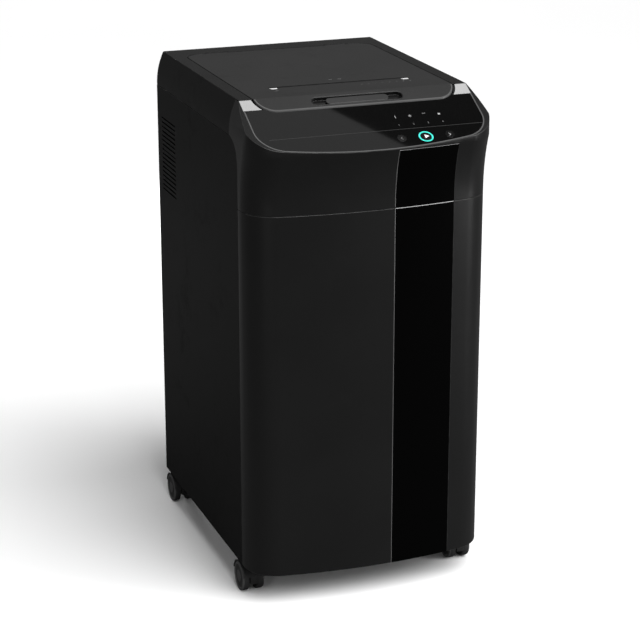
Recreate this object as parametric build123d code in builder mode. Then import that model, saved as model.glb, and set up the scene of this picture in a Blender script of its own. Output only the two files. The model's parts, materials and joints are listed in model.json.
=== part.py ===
from build123d import *

import math
import os

# Floor-standing auto-feed paper shredder.
#
# A tall cabinet on four twin-wheel casters.  The head holds the paper tray under a hinged lid, the
# cutters and their gear train; below it a pull-out bin fills the cabinet.  A sloping glossy console
# crosses the front of the head.
#
# Frame: millimetres, +Z up, the front faces -Y, X is zero on the centre line, the floor is Z = 0 and
# Y is zero half way between the console's lip and the rear panel.

# ---------------------------------------------------------------- driving dimensions
width = 415.0  # over the side panels
depth = 550.0  # console lip to rear panel
height = 838.0  # floor to lid
wall = 3.0  # plastic covers
frame_wall = 2.0  # inner frame behind the covers of the head
seam = 0.8  # gap between neighbouring covers
slide_fit = 0.4  # clearance round a part that moves in an opening
shaft_fit = 0.05  # radial running clearance of a shaft in its bearing

bow_radius = 900.0  # the front is slightly bowed in plan
corner_radius = 58.0  # front corners in plan
rear_radius = 2.0
lip_overhang = 17.5  # the console lip stands this far out from the front face
flare_height = 92.0  # over which the upper front sweeps out to the lip
slope_run = 127.0  # console, front to back
slope_drop = 68.0  # console, top to lip
slope_wall = 6.0
head_height = 168.0  # lid to the seam above the bin
shoulder_height = 57.0
shoulder_inset = 13.0
shoulder_step = 12.0  # shoulder covers start this far behind the slope
side_cover_back = 98.0  # lip to the front edge of the side panels
side_corner = 42.0  # upper front corner of a side panel

lid_width = 340.0
lid_tongue = 30.0  # how far the lid runs down the slope, in plan
lid_depth = 14.0
lid_front_radius = 34.0
lid_rear_radius = 24.0
lid_rear_margin = 50.0  # lid to rear panel
lid_gap = 1.5
lid_bead = 2.4
bead_rise = 0.6
well_gap = 3.0  # under the lid
hinge_back = 6.5  # hinge axis behind the lid's rear edge
hinge_pin_radius = 1.5
hinge_barrel = 2.7
hinge_length = 40.0
hinge_offset = 110.0

slot_length = 235.0
slot_width = 7.0
slot_wall = 2.5
slot_back = 71.0  # behind the start of the slope
latch_pocket_length = 156.0
latch_pocket_width = 20.0
latch_pocket_wall = 1.5
latch_bar_length = 106.0
latch_bar_width = 14.5
latch_bar_thickness = 2.5
latch_travel = 2.5
latch_lip = 1.0  # how far the bar is held below the pocket's edge
hook_offset = 36.0
hook_width = 8.0
hook_thickness = 3.0
hook_length = 25.0

fascia_thickness = 3.0
fascia_margin = 2.6  # fascia to the edge of the slope
fascia_corner = 50.0
bead_width = 2.0
corner_trim_length = 27.0  # down the slope
strip_left = 29.0  # glossy vertical strip, from the centre line
strip_right = 134.0
strip_thickness = 1.5
strip_gap = 0.4
key_travel = 1.0
power_key_radius = 9.2
side_key_radius = 7.5
key_flange = 1.3
key_flange_rim = 1.3
key_x = 81.0
key_spread = 41.0
key_from_lip = 24.0
ring_width = 2.4
ring_depth = 1.6
board_thickness = 1.6

paper_length = 300.0  # inside the tray
paper_width = 224.0
tray_depth = 52.0
tray_wall = 2.5
tray_flange = 6.0
tray_front_back = 10.0  # tray's front wall behind the start of the slope
plate_thickness = 4.0
plate_clearance = 7.0  # left above the plate when it is pushed right up
plate_travel = 5.0
plate_margin = 5.0
post_radius = 3.0
post_inset = 25.0  # posts to the pressure plate's edge
spring_wire = 0.6

cutter_disc_radius = 25.0
cutter_mesh_gap = 0.5  # disc edge to the other cutter's core
cutter_pitch = 8.0
cutter_disc_thickness = 3.4
cutter_width = 232.0
cutter_rise = 42.0  # cutter axes above the deck
cutter_hooks = 5
journal_radius = 8.0
bush_wall = 3.5
side_plate_thickness = 5.0
side_plate_gap = 3.0
side_plate_front = 50.0  # ahead of the slot
tie_rod_radius = 4.0
gear_face = 10.0
gear_gap = 2.0
cutter_gear_teeth = 22
cutter_module = 2.0
idler_teeth = 14
reduction_teeth = 60
pinion_teeth = 14
motor_module = 1.25
motor_radius = 40.0
motor_length = 150.0
motor_shaft_radius = 4.0
deck_thickness = 3.0
roller_radius = 12.0
roller_width = 22.0
roller_pitch = 54.0
roller_shaft_radius = 4.0
roller_rise = 2.5  # above the tray floor
roller_spread = 38.0
feed_gear_teeth = 38
feed_gear_face = 5.0
feed_motor_radius = 14.0
feed_motor_length = 42.0

caster_height = 55.0  # floor to the underside of the cabinet
wheel_radius = 25.0
wheel_width = 12.6
caster_web = 12.0
hood_wall = 2.0
caster_trail = 20.0
caster_side_inset = 19.0
caster_front_back = 98.0  # behind the lip
caster_rear_front = 48.0  # ahead of the rear panel
axle_radius = 3.0
stem_radius = 5.5
boss_wall = 4.5
boss_height = 12.0

base_thickness = 4.0
bin_clearance = 14.0  # tub to the outside of the cabinet
bin_wall = 2.5
bin_height = 480.0
bin_floor_gap = 22.0  # tub floor above the underside of the cabinet
bin_rear_gap = 25.0
bin_rim = 8.0
rail_width = 16.0
rib_width = 8.0
rib_offset = 104.0
rail_offset = 120.0
vent_width = 82.0
vent_height = 140.0
vent_pitch = 8.0
vent_slot = 3.0
vent_drop = 175.0  # lid top to the vent's middle
vent_rear = 66.0  # rear panel to the vent's middle
control_length = 110.0
control_width = 90.0
control_rise = 8.0  # board above the deck
control_side_gap = 22.5
control_rear_gap = 40.0
transformer_length = 34.0
transformer_width = 40.0
transformer_height = 26.0
capacitor_radius = 9.0
capacitor_height = 20.0
fan_size = 80.0
fan_depth = 16.0
fan_x = -95.0
inlet_width = 64.0
inlet_height = 28.0
inlet_depth = 20.0
inlet_x = -120.0
inlet_rise = 60.0  # above the underside of the cabinet
rocker_width = 13.0
rocker_height = 20.0
rocker_angle = 10.0
screw_head_radius = 3.6
screw_radius = 1.8
screw_head_depth = 1.6
screw_length = 10.0

# ---------------------------------------------------------------- derived places
half = width / 2
lip_y = -depth / 2
rear_y = depth / 2
face_y = lip_y + lip_overhang
slope_y = lip_y + slope_run
lip_z = height - slope_drop
slope_angle = math.degrees(math.atan2(slope_drop, slope_run))
slope_cos = math.cos(math.radians(slope_angle))
slope_sin = math.sin(math.radians(slope_angle))
slope_length = math.hypot(slope_drop, slope_run)
seam_z = height - head_height
shoulder_z = height - shoulder_height
shoulder_radius = (shoulder_height**2 + shoulder_inset**2) / (2 * shoulder_inset)
top_half = half - shoulder_inset
side_y = lip_y + side_cover_back
shoulder_y = slope_y + shoulder_step
base_z = caster_height
head_floor_z = seam_z + seam / 2
flare_radius = (flare_height**2 + lip_overhang**2) / (2 * lip_overhang)

lid_rear_y = rear_y - lid_rear_margin
lid_front_y = slope_y - lid_tongue
lid_base_z = height - lid_depth
liner_z = lid_base_z + wall
well_z = lid_base_z - well_gap
well_split_y = slope_y + 5.0
hinge_y = lid_rear_y + hinge_back
hinge_z = height - hinge_barrel - 0.3
slot_y = slope_y + slot_back
cutter_spacing = cutter_module * cutter_gear_teeth
cutter_core_radius = cutter_spacing - cutter_disc_radius - cutter_mesh_gap

tray_floor_z = well_z - tray_depth
tray_front_y = slope_y + tray_front_back
tray_rear_y = tray_front_y + paper_length
plate_drop = plate_clearance + plate_travel
plate_z = lid_base_z - plate_drop
cutter_z = head_floor_z + cutter_rise
front_cutter_y = slot_y - cutter_spacing / 2
rear_cutter_y = slot_y + cutter_spacing / 2
plate_inner_x = cutter_width / 2 + side_plate_gap
plate_outer_x = plate_inner_x + side_plate_thickness
roller_z = tray_floor_z + roller_rise - roller_radius
front_roller_y = slot_y - roller_spread / 2
rear_roller_y = slot_y + roller_spread / 2
idler_y = rear_cutter_y + cutter_module * (cutter_gear_teeth + idler_teeth) / 2
motor_y = idler_y + motor_module * (reduction_teeth + pinion_teeth) / 2
gear_x = plate_outer_x + gear_gap
reduction_x = gear_x + gear_face + gear_gap
tub_z = base_z + bin_floor_gap
tub_rear_y = rear_y - bin_rear_gap
vent_y = rear_y - vent_rear
vent_z = height - vent_drop
fan_z = height - 103.0
inlet_z = base_z + inlet_rise

slope_plane = Plane(
    origin=(0, slope_y, height), x_dir=(1, 0, 0), z_dir=(0, -slope_sin, slope_cos)
)
pocket_row = -lid_tongue / 2 / slope_cos
latch_pocket_depth = latch_lip + latch_bar_thickness + latch_travel + slide_fit + latch_pocket_wall
key_row = -slope_length + key_from_lip
casters = {
    "front_left": (-1, lip_y + caster_front_back),
    "front_right": (1, lip_y + caster_front_back),
    "rear_left": (-1, rear_y - caster_rear_front),
    "rear_right": (1, rear_y - caster_rear_front),
}


def save(piece, name):
    """Labels a finished piece and writes its STEP file."""
    piece.part.label = name
    export_step(piece.part, f"parts/{name}.step")


# ---------------------------------------------------------------- shared shapes
def plan_outline(z, front_y, inset=0.0):
    """The cabinet's plan: bowed front, round corners, set in by inset."""
    side = half - inset
    reach = bow_radius - inset
    end_y = front_y + bow_radius - math.sqrt(reach**2 - side**2)
    with BuildSketch(Plane.XY.offset(z)) as outline:
        with BuildLine():
            ThreePointArc((-side, end_y), (0, front_y + inset), (side, end_y))
            Polyline((side, end_y), (side, rear_y - inset), (-side, rear_y - inset), (-side, end_y))
        make_face()
        fillet(outline.vertices().sort_by(Axis.Y)[:2], corner_radius - inset)
        if inset < rear_radius:
            fillet(outline.vertices().sort_by(Axis.Y)[-2:], rear_radius - inset)
    return outline.sketch


def flare(z):
    """How far the front stands out from the bin's face at height z."""
    rise = max(z - (lip_z - flare_height), 0.0)
    return flare_radius - math.sqrt(flare_radius**2 - rise**2)


def shoulder_x(z, inset=0.0):
    """Half width of the head at height z, where the shoulders curve in."""
    rise = max(z - shoulder_z, 0.0)
    return half - shoulder_radius + math.sqrt((shoulder_radius - inset) ** 2 - rise**2)


def head_envelope(inset=0.0, slope_inset=0.0):
    """The solid shape of the head, from below the seam to the lid, set in by inset."""
    flare_z = lip_z - flare_height
    bottom_z = seam_z - 2 * wall
    steps = 4
    with BuildPart() as envelope:
        add(plan_outline(bottom_z, face_y, inset))
        extrude(amount=flare_z - bottom_z)
        for step in range(steps + 1):
            z = flare_z + flare_height * step / steps
            add(plan_outline(z, face_y - flare(z), inset))
        loft()
        add(plan_outline(lip_z, lip_y, inset))
        extrude(amount=height - inset - lip_z)
        top = height - inset
        middle = (top + shoulder_z) / 2
        with BuildSketch(Plane.XZ.offset(-depth)) as shoulders:
            with BuildLine():
                ThreePointArc(
                    (shoulder_x(shoulder_z, inset), shoulder_z),
                    (shoulder_x(middle, inset), middle),
                    (shoulder_x(top, inset), top),
                )
                Polyline(
                    (shoulder_x(top, inset), top),
                    (shoulder_x(top, inset), height + 1),
                    (half + 1, height + 1),
                    (half + 1, shoulder_z),
                    (shoulder_x(shoulder_z, inset), shoulder_z),
                )
            make_face()
            mirror(shoulders.sketch, about=Plane.YZ)
        extrude(amount=2 * depth, mode=Mode.SUBTRACT)
        with BuildSketch(slope_plane.offset(-slope_inset)):
            Rectangle(2 * width, 4 * slope_run)
        extrude(amount=2 * slope_run, mode=Mode.SUBTRACT)
    return envelope.part


def side_block(start, thickness, margin=0.0):
    """A side panel's outline, grown by margin, as a slab across X from start."""
    with BuildPart() as slab:
        with BuildSketch(Plane.YZ.offset(start)) as outline:
            with BuildLine():
                Polyline(
                    (side_y - margin, base_z),
                    (rear_y, base_z),
                    (rear_y, shoulder_z - seam / 2 + margin),
                    (side_y - margin, shoulder_z - seam / 2 + margin),
                    close=True,
                )
            make_face()
            upper_front = outline.vertices().group_by(Axis.Y)[-1].sort_by(Axis.X)[0]
            fillet(upper_front, side_corner + margin)
        extrude(amount=thickness)
    return slab.part


def lid_plan(margin=0.0):
    """The lid's outline in plan at Z = 0, grown by margin."""
    side = lid_width / 2 + margin
    with BuildSketch() as outline:
        with BuildLine():
            Polyline(
                (-side, lid_front_y - margin),
                (side, lid_front_y - margin),
                (side, lid_rear_y + margin),
                (-side, lid_rear_y + margin),
                close=True,
            )
        make_face()
        fillet(outline.vertices().sort_by(Axis.Y)[:2], lid_front_radius + margin)
        fillet(outline.vertices().sort_by(Axis.Y)[-2:], lid_rear_radius + margin)
    return outline.sketch


def lid_block(margin, top_inset, thickness):
    """The lid's bent slab: flat behind the bend, sloping in front of it."""
    slope = math.tan(math.radians(slope_angle))
    top = height - top_inset
    bend_shift = top_inset * math.tan(math.radians(slope_angle / 2))
    bend_y = slope_y - bend_shift
    ahead = 2 * lid_tongue
    behind = 2 * rear_y
    with BuildPart() as block:
        add(lid_plan(margin))
        extrude(amount=height + 1)
        with BuildSketch(Plane.YZ.offset(-width)):
            with BuildLine():
                Polyline(
                    (bend_y - ahead, top - slope * ahead),
                    (bend_y, top),
                    (behind, top),
                    (behind, height - thickness),
                    (slope_y, height - thickness),
                    (slope_y - ahead, height - thickness - slope * ahead),
                    close=True,
                )
            make_face()
        extrude(amount=2 * width, mode=Mode.INTERSECT)
    return block.part


def fascia_slab(thickness, grow=0.0):
    """The console's face as a slab on the slope: bowed foot, large lower corners."""
    side = top_half - fascia_margin + grow
    foot = -slope_length + fascia_margin - grow
    sag = (bow_radius - math.sqrt(bow_radius**2 - side**2)) / slope_cos
    with BuildPart() as slab:
        with BuildSketch(slope_plane) as outline:
            with BuildLine():
                ThreePointArc((-side, foot + sag), (0, foot), (side, foot + sag))
                Polyline((side, foot + sag), (side, 0), (-side, 0), (-side, foot + sag))
            make_face()
            fillet(outline.vertices().group_by(Axis.Y)[0], fascia_corner + grow)
        extrude(amount=thickness)
    return slab.part


def gear_points(teeth, module, phase=0.0):
    """Corner points of a spur gear with straight flanks and some backlash."""
    pitch_radius = module * teeth / 2
    tip = pitch_radius + 0.85 * module
    root = pitch_radius - 1.1 * module
    points = []
    for tooth in range(teeth):
        middle = 2 * math.pi * tooth / teeth + math.radians(phase)
        for radius, share in ((root, -0.31), (tip, -0.13), (tip, 0.13), (root, 0.31)):
            angle = middle + share * 2 * math.pi / teeth
            points.append((radius * math.cos(angle), radius * math.sin(angle)))
    return points


def spur_gear(x, y, z, face, teeth, module, phase=0.0):
    """A spur gear turning about an axis along X, its teeth from x to x + face."""
    with BuildPart() as gear:
        with BuildSketch(Plane.YZ.offset(x)):
            with Locations((y, z)):
                Polygon(*gear_points(teeth, module, phase), align=None)
        extrude(amount=face)
    return gear.part


def cross_shaft(x, y, z, radius, length):
    """A round bar along X from x."""
    with BuildPart() as bar:
        with BuildSketch(Plane.YZ.offset(x)):
            with Locations((y, z)):
                Circle(radius)
        extrude(amount=length)
    return bar.part


os.makedirs("parts", exist_ok=True)
head_outer = head_envelope()
head_inner = head_envelope(wall, slope_wall)
head_core = head_envelope(wall + frame_wall, slope_wall + frame_wall)
well_outer = lid_block(lid_gap + wall, 0, lid_depth + well_gap + wall)
well_inner = lid_block(lid_gap, -2 * wall, lid_depth + well_gap)

# ---------------------------------------------------------------- cabinet panels
with BuildPart() as rear_panel:
    with BuildSketch(Plane.XZ.offset(-rear_y)) as rear_outline:
        with BuildLine():
            inner_top = height - wall
            inner_middle = (inner_top + shoulder_z) / 2
            Polyline(
                (0, base_z),
                (half - wall, base_z),
                (half - wall, shoulder_z),
            )
            ThreePointArc(
                (half - wall, shoulder_z),
                (shoulder_x(inner_middle, wall), inner_middle),
                (shoulder_x(inner_top, wall), inner_top),
            )
            Polyline((shoulder_x(inner_top, wall), inner_top), (0, inner_top), (0, base_z))
        make_face()
        mirror(rear_outline.sketch, about=Plane.YZ)
    extrude(amount=wall)
    with BuildSketch(Plane.XZ.offset(-rear_y)):
        with Locations((fan_x, fan_z)):
            with GridLocations(0, vent_pitch, 1, int(fan_size / vent_pitch) - 1):
                SlotOverall(fan_size - 8, vent_slot)
        with Locations((inlet_x, inlet_z)):
            Rectangle(inlet_width, inlet_height)
    extrude(amount=wall, mode=Mode.SUBTRACT)
    screw_rows = (base_z + 30, (base_z + seam_z) / 2, seam_z - 20)
    screw_places = [(side * (half - wall - 6), z) for side in (-1, 1) for z in screw_rows]
    with BuildSketch(Plane.XZ.offset(-rear_y)):
        with Locations(*screw_places):
            Circle(screw_head_radius + 0.2)
    extrude(amount=screw_head_depth, mode=Mode.SUBTRACT)
    with BuildSketch(Plane.XZ.offset(-rear_y)):
        with Locations(*screw_places):
            Circle(screw_radius)
    extrude(amount=wall, mode=Mode.SUBTRACT)
save(rear_panel, "rear_panel")

with BuildPart() as rear_screws:
    with BuildSketch(Plane.XZ.offset(-rear_y)):
        with Locations(*screw_places):
            Circle(screw_head_radius)
    extrude(amount=screw_head_depth)
    with BuildSketch(Plane.XZ.offset(-rear_y)):
        with Locations(*screw_places):
            Circle(screw_radius)
    extrude(amount=screw_length)
    with BuildSketch(Plane.XZ.offset(-rear_y)):
        with Locations(*screw_places):
            Rectangle(4.0, 0.8)
            Rectangle(0.8, 4.0)
    extrude(amount=screw_head_depth / 2, mode=Mode.SUBTRACT)
save(rear_screws, "rear_screws")

for side, name in ((-1, "side_panel_left"), (1, "side_panel_right")):
    inner_x = side * (half - wall)
    with BuildPart() as side_panel:
        add(side_block(inner_x, side * wall))
        with BuildSketch(Plane.YZ.offset(inner_x)):
            with Locations((vent_y, vent_z)):
                with GridLocations(0, vent_pitch, 1, int(vent_height / vent_pitch)):
                    SlotOverall(vent_width, vent_slot)
        extrude(amount=side * wall, mode=Mode.SUBTRACT)
        with Locations(*[(inner_x - side * 6, rear_y - wall - 6, z) for z in screw_rows]):
            Box(12, 12, 14)
        with BuildSketch(Plane.XZ.offset(-rear_y)):
            with Locations(*screw_places):
                Circle(screw_radius)
        extrude(amount=screw_length, mode=Mode.SUBTRACT)
    save(side_panel, name)

with BuildPart() as base_plate:
    add(plan_outline(base_z, face_y, wall + seam))
    extrude(amount=base_thickness)
    with BuildSketch(Plane.XY.offset(base_z)):
        with Locations((0, (side_y + rear_y - wall) / 2)):
            Rectangle(width - 2 * wall, rear_y - wall - side_y)
    extrude(amount=base_thickness)
    with BuildSketch(Plane.XY.offset(base_z)):
        with Locations((0, rear_y)):
            Rectangle(width, 2 * wall)
    extrude(amount=base_thickness, mode=Mode.SUBTRACT)
    stems = [(side * (half - caster_side_inset), y) for side, y in casters.values()]
    with BuildSketch(Plane.XY.offset(base_z + base_thickness)):
        with Locations(*stems):
            Circle(stem_radius + boss_wall)
    extrude(amount=boss_height)
    with BuildSketch(Plane.XY.offset(base_z)):
        with Locations(*stems):
            Circle(stem_radius + shaft_fit)
    extrude(amount=base_thickness + boss_height, mode=Mode.SUBTRACT)
    with BuildSketch(Plane.XY.offset(base_z)):
        with GridLocations(2 * rail_offset, 0, 2, 1):
            with Locations((0, (face_y + 40 + tub_rear_y) / 2)):
                Rectangle(rail_width, tub_rear_y - face_y - 40)
    extrude(amount=bin_floor_gap - slide_fit)
save(base_plate, "base_plate")

with BuildPart() as machine_deck:
    add(plan_outline(head_floor_z - deck_thickness, face_y, wall + bin_rim + 2))
    extrude(amount=deck_thickness)
    with BuildSketch(Plane.XY.offset(head_floor_z - deck_thickness)):
        with Locations((0, (side_y + rear_y - wall) / 2)):
            Rectangle(width - 2 * wall, rear_y - wall - side_y)
    extrude(amount=deck_thickness)
    with BuildSketch(Plane.XY.offset(head_floor_z - deck_thickness)):
        with Locations((0, rear_y)):
            Rectangle(width, 2 * wall)
        with Locations((0, slot_y)):
            Rectangle(cutter_width - 4, 2 * (cutter_disc_radius + cutter_spacing / 2) - 6)
    extrude(amount=deck_thickness, mode=Mode.SUBTRACT)
save(machine_deck, "machine_deck")

# ---------------------------------------------------------------- covers of the head
with BuildPart() as rear_well:
    add(well_outer)
    add(well_inner, mode=Mode.SUBTRACT)
    with BuildSketch():
        with Locations((0, (well_split_y + rear_y) / 2)):
            Rectangle(width, rear_y - well_split_y)
    extrude(amount=2 * height, mode=Mode.INTERSECT)

with BuildPart() as front_well:
    add(well_outer)
    add(well_inner, mode=Mode.SUBTRACT)
    with BuildSketch():
        with Locations((0, well_split_y - slope_run)):
            Rectangle(width, 2 * slope_run)
    extrude(amount=2 * height, mode=Mode.INTERSECT)

hinge_zone_y = (lid_rear_y + hinge_y + hinge_barrel + 4) / 2
hinge_zone_length = hinge_y + hinge_barrel + 4 - lid_rear_y
with BuildPart() as top_frame:
    add(head_outer)
    add(head_inner, mode=Mode.SUBTRACT)
    with BuildSketch(Plane.XY.offset(shoulder_z)):
        with Locations((0, (slope_y + rear_y) / 2)):
            Rectangle(2 * top_half - seam, rear_y - slope_y)
    extrude(amount=height, mode=Mode.INTERSECT)
    add(rear_panel.part, mode=Mode.SUBTRACT)
    add(well_outer, mode=Mode.SUBTRACT)
    add(rear_well.part)
    with BuildSketch(Plane.XY.offset(height - wall - 8)):
        with GridLocations(2 * hinge_offset, 0, 2, 1):
            with Locations((0, hinge_zone_y + lid_gap)):
                Rectangle(hinge_length + 20, hinge_zone_length - 2 * lid_gap)
    extrude(amount=8)
    with BuildSketch(Plane.XY.offset(height - wall - 4)):
        with GridLocations(2 * hinge_offset, 0, 2, 1):
            with Locations((0, hinge_zone_y - 3)):
                Rectangle(hinge_length + 2 * slide_fit, hinge_zone_length)
    extrude(amount=3 * wall, mode=Mode.SUBTRACT)
    for side in (-1, 1):
        with BuildSketch(Plane.YZ.offset(side * hinge_offset - hinge_length / 2 - 6)):
            with Locations((hinge_y, hinge_z)):
                Circle(hinge_pin_radius)
        extrude(amount=hinge_length + 12, mode=Mode.SUBTRACT)
    with BuildSketch(Plane.XY.offset(well_z - wall)):
        with Locations((0, (tray_front_y + tray_rear_y) / 2)):
            Rectangle(paper_width + 2 * tray_wall, paper_length + 2 * tray_wall)
    extrude(amount=wall, mode=Mode.SUBTRACT)
save(top_frame, "top_frame")

with BuildPart() as hinge_pins:
    for side in (-1, 1):
        with BuildSketch(Plane.YZ.offset(side * hinge_offset - hinge_length / 2 - 6)):
            with Locations((hinge_y, hinge_z)):
                Circle(hinge_pin_radius)
        extrude(amount=hinge_length + 12)
save(hinge_pins, "hinge_pins")

for side, name in ((-1, "shoulder_left"), (1, "shoulder_right")):
    with BuildPart() as shoulder:
        add(head_outer)
        add(head_inner, mode=Mode.SUBTRACT)
        with BuildSketch(Plane.XY.offset(shoulder_z + seam / 2)):
            with Locations((side * (top_half + half) / 2, (shoulder_y + rear_y) / 2)):
                Rectangle(half - top_half, rear_y - shoulder_y)
        extrude(amount=height, mode=Mode.INTERSECT)
        add(rear_panel.part, mode=Mode.SUBTRACT)
    save(shoulder, name)

key_places = ((key_x - key_spread, side_key_radius), (key_x, power_key_radius))
key_places += ((key_x + key_spread, side_key_radius),)
with BuildPart() as upper_groove:
    add(head_outer)
    add(head_envelope(strip_thickness), mode=Mode.SUBTRACT)
    with BuildSketch(Plane.XY.offset(head_floor_z)):
        with Locations(((strip_left + strip_right) / 2, lip_y)):
            Rectangle(strip_right - strip_left + 2 * strip_gap, 2 * corner_radius)
    extrude(amount=lip_z - 3 * seam - head_floor_z, mode=Mode.INTERSECT)

with BuildPart() as upper_strip:
    add(upper_groove.part)
    with BuildSketch(Plane.XY.offset(head_floor_z)):
        with Locations(((strip_left + strip_right) / 2, lip_y)):
            Rectangle(strip_right - strip_left, 2 * corner_radius)
    extrude(amount=height, mode=Mode.INTERSECT)
save(upper_strip, "upper_strip")

with BuildPart() as front_housing:
    add(head_outer)
    add(head_inner, mode=Mode.SUBTRACT)
    with BuildSketch(Plane.XY.offset(head_floor_z)):
        with Locations((0, lip_y)):
            Rectangle(2 * width, 2 * (shoulder_y - seam - lip_y))
    extrude(amount=height, mode=Mode.INTERSECT)
    with BuildSketch(Plane.XY.offset(shoulder_z)):
        with Locations((0, slope_y + slope_run / 2)):
            Rectangle(2 * top_half + seam, slope_run)
    extrude(amount=height, mode=Mode.SUBTRACT)
    add(side_block(-width, 2 * width, seam), mode=Mode.SUBTRACT)
    add(upper_groove.part, mode=Mode.SUBTRACT)
    add(well_outer, mode=Mode.SUBTRACT)
    add(front_well.part)
    add(fascia_slab(-fascia_thickness, bead_width), mode=Mode.SUBTRACT)
    with BuildSketch(slope_plane.offset(-slope_wall)):
        for x, radius in key_places:
            with Locations((x, key_row)):
                Circle(radius + key_flange_rim + slide_fit)
    extrude(amount=slope_wall, mode=Mode.SUBTRACT)
    add(well_inner, mode=Mode.SUBTRACT)
    with BuildSketch(slope_plane.offset(-2 * hook_length)):
        with GridLocations(2 * hook_offset, 0, 2, 1):
            with Locations((0, pocket_row - 3)):
                Rectangle(hook_width + 4, hook_thickness + 14)
    extrude(amount=2 * hook_length, mode=Mode.SUBTRACT)
save(front_housing, "front_housing")

with BuildPart() as head_frame:
    add(head_inner)
    add(head_core, mode=Mode.SUBTRACT)
    with BuildSketch(Plane.XY.offset(head_floor_z)):
        Rectangle(2 * width, 2 * depth)
    extrude(amount=height, mode=Mode.INTERSECT)
    add(rear_panel.part, mode=Mode.SUBTRACT)
    with BuildSketch(Plane.XZ.offset(-rear_y)):
        with Locations((0, height / 2)):
            Rectangle(2 * width, 2 * height)
    extrude(amount=wall + frame_wall, mode=Mode.SUBTRACT)
    add(lid_block(lid_gap + wall, 0, lid_depth + well_gap + 2 * wall), mode=Mode.SUBTRACT)
    with BuildSketch(Plane.XY.offset(height - wall - 9)):
        with GridLocations(2 * hinge_offset, 0, 2, 1):
            with Locations((0, hinge_zone_y + lid_gap)):
                Rectangle(hinge_length + 20, hinge_zone_length + 2 * lid_gap)
    extrude(amount=9, mode=Mode.SUBTRACT)
    with BuildSketch(slope_plane.offset(-2 * slope_wall)):
        with Locations((key_x, key_row + 6)):
            Rectangle(2 * key_spread + 46, 30)
    extrude(amount=slope_wall, mode=Mode.SUBTRACT)
    with BuildSketch(Plane.YZ.offset(-width)):
        with Locations((vent_y, vent_z)):
            Rectangle(vent_width + 4, vent_height + 4)
    extrude(amount=2 * width, mode=Mode.SUBTRACT)
save(head_frame, "head_frame")

# ---------------------------------------------------------------- console
with BuildPart() as lid_notch:
    add(lid_plan(lid_gap))
    extrude(amount=2 * height)

with BuildPart() as lower_slope:
    with BuildSketch(slope_plane.offset(-2 * slope_wall)):
        with Locations((0, -(corner_trim_length + slope_length) / 2 - wall)):
            Rectangle(2 * width, slope_length + 2 * wall - corner_trim_length)
    extrude(amount=4 * slope_wall)

with BuildPart() as console_fascia:
    add(fascia_slab(-fascia_thickness))
    add(lower_slope.part, mode=Mode.INTERSECT)
    add(lid_notch.part, mode=Mode.SUBTRACT)
    with BuildSketch(slope_plane):
        for x, radius in key_places:
            with Locations((x, key_row)):
                Circle(radius + slide_fit)
    extrude(amount=-fascia_thickness, mode=Mode.SUBTRACT)
    with BuildSketch(slope_plane):
        with Locations((key_x, key_row)):
            Circle(power_key_radius + slide_fit + ring_width)
    extrude(amount=-ring_depth, mode=Mode.SUBTRACT)
save(console_fascia, "console_fascia")

with BuildPart() as console_bead:
    add(fascia_slab(-fascia_thickness, bead_width))
    add(fascia_slab(bead_rise, bead_width))
    add(fascia_slab(-fascia_thickness), mode=Mode.SUBTRACT)
    add(fascia_slab(bead_rise), mode=Mode.SUBTRACT)
    add(lower_slope.part, mode=Mode.INTERSECT)
save(console_bead, "console_bead")

with BuildPart() as corner_trims:
    add(fascia_slab(-fascia_thickness, bead_width))
    with BuildSketch(slope_plane.offset(-2 * slope_wall)):
        with Locations((0, -corner_trim_length / 2 - seam / 2)):
            Rectangle(2 * width, corner_trim_length - 3 * seam)
    extrude(amount=4 * slope_wall, mode=Mode.INTERSECT)
    add(well_outer, mode=Mode.SUBTRACT)
save(corner_trims, "corner_trims")

for (x, radius), name in zip(key_places, ("reverse_key", "power_key", "forward_key")):
    with BuildPart() as key:
        with BuildSketch(slope_plane.offset(-fascia_thickness)):
            with Locations((x, key_row)):
                Circle(radius)
        extrude(amount=fascia_thickness + slide_fit)
        fillet(key.edges().group_by(Axis.Z)[-1].filter_by(GeomType.CIRCLE), 0.3)
        with BuildSketch(slope_plane.offset(-fascia_thickness)):
            with Locations((x, key_row)):
                Circle(radius + key_flange_rim)
        extrude(amount=-key_flange)
    save(key, name)

with BuildPart() as power_ring:
    with BuildSketch(slope_plane):
        with Locations((key_x, key_row)):
            Circle(power_key_radius + slide_fit + ring_width)
            Circle(power_key_radius + slide_fit, mode=Mode.SUBTRACT)
    extrude(amount=-ring_depth)
save(power_ring, "power_ring")

with BuildPart() as key_board:
    with BuildSketch(slope_plane.offset(-slope_wall)):
        with Locations((key_x, key_row + 6)):
            Rectangle(2 * key_spread + 38, 24)
    extrude(amount=-board_thickness)
    with BuildSketch(slope_plane.offset(-slope_wall)):
        for x, radius in key_places:
            with Locations((x, key_row)):
                Circle(3)
    extrude(amount=slope_wall - fascia_thickness - key_flange - key_travel - slide_fit)
save(key_board, "key_board")

# ---------------------------------------------------------------- lid
with BuildPart() as bead_groove:
    add(lid_block(0, -wall, 1.5))
    add(lid_block(-lid_bead, -2 * wall, 2 * wall), mode=Mode.SUBTRACT)
    with BuildSketch():
        with Locations((0, slope_y - slope_run - 2 * seam)):
            Rectangle(width, 2 * slope_run)
    extrude(amount=2 * height, mode=Mode.INTERSECT)

with BuildPart() as lid_bead_strip:
    add(bead_groove.part)
    with BuildSketch(slope_plane.offset(bead_rise)):
        Rectangle(2 * width, 2 * slope_run)
    extrude(amount=slope_run, mode=Mode.SUBTRACT)
save(lid_bead_strip, "lid_bead")

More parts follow.
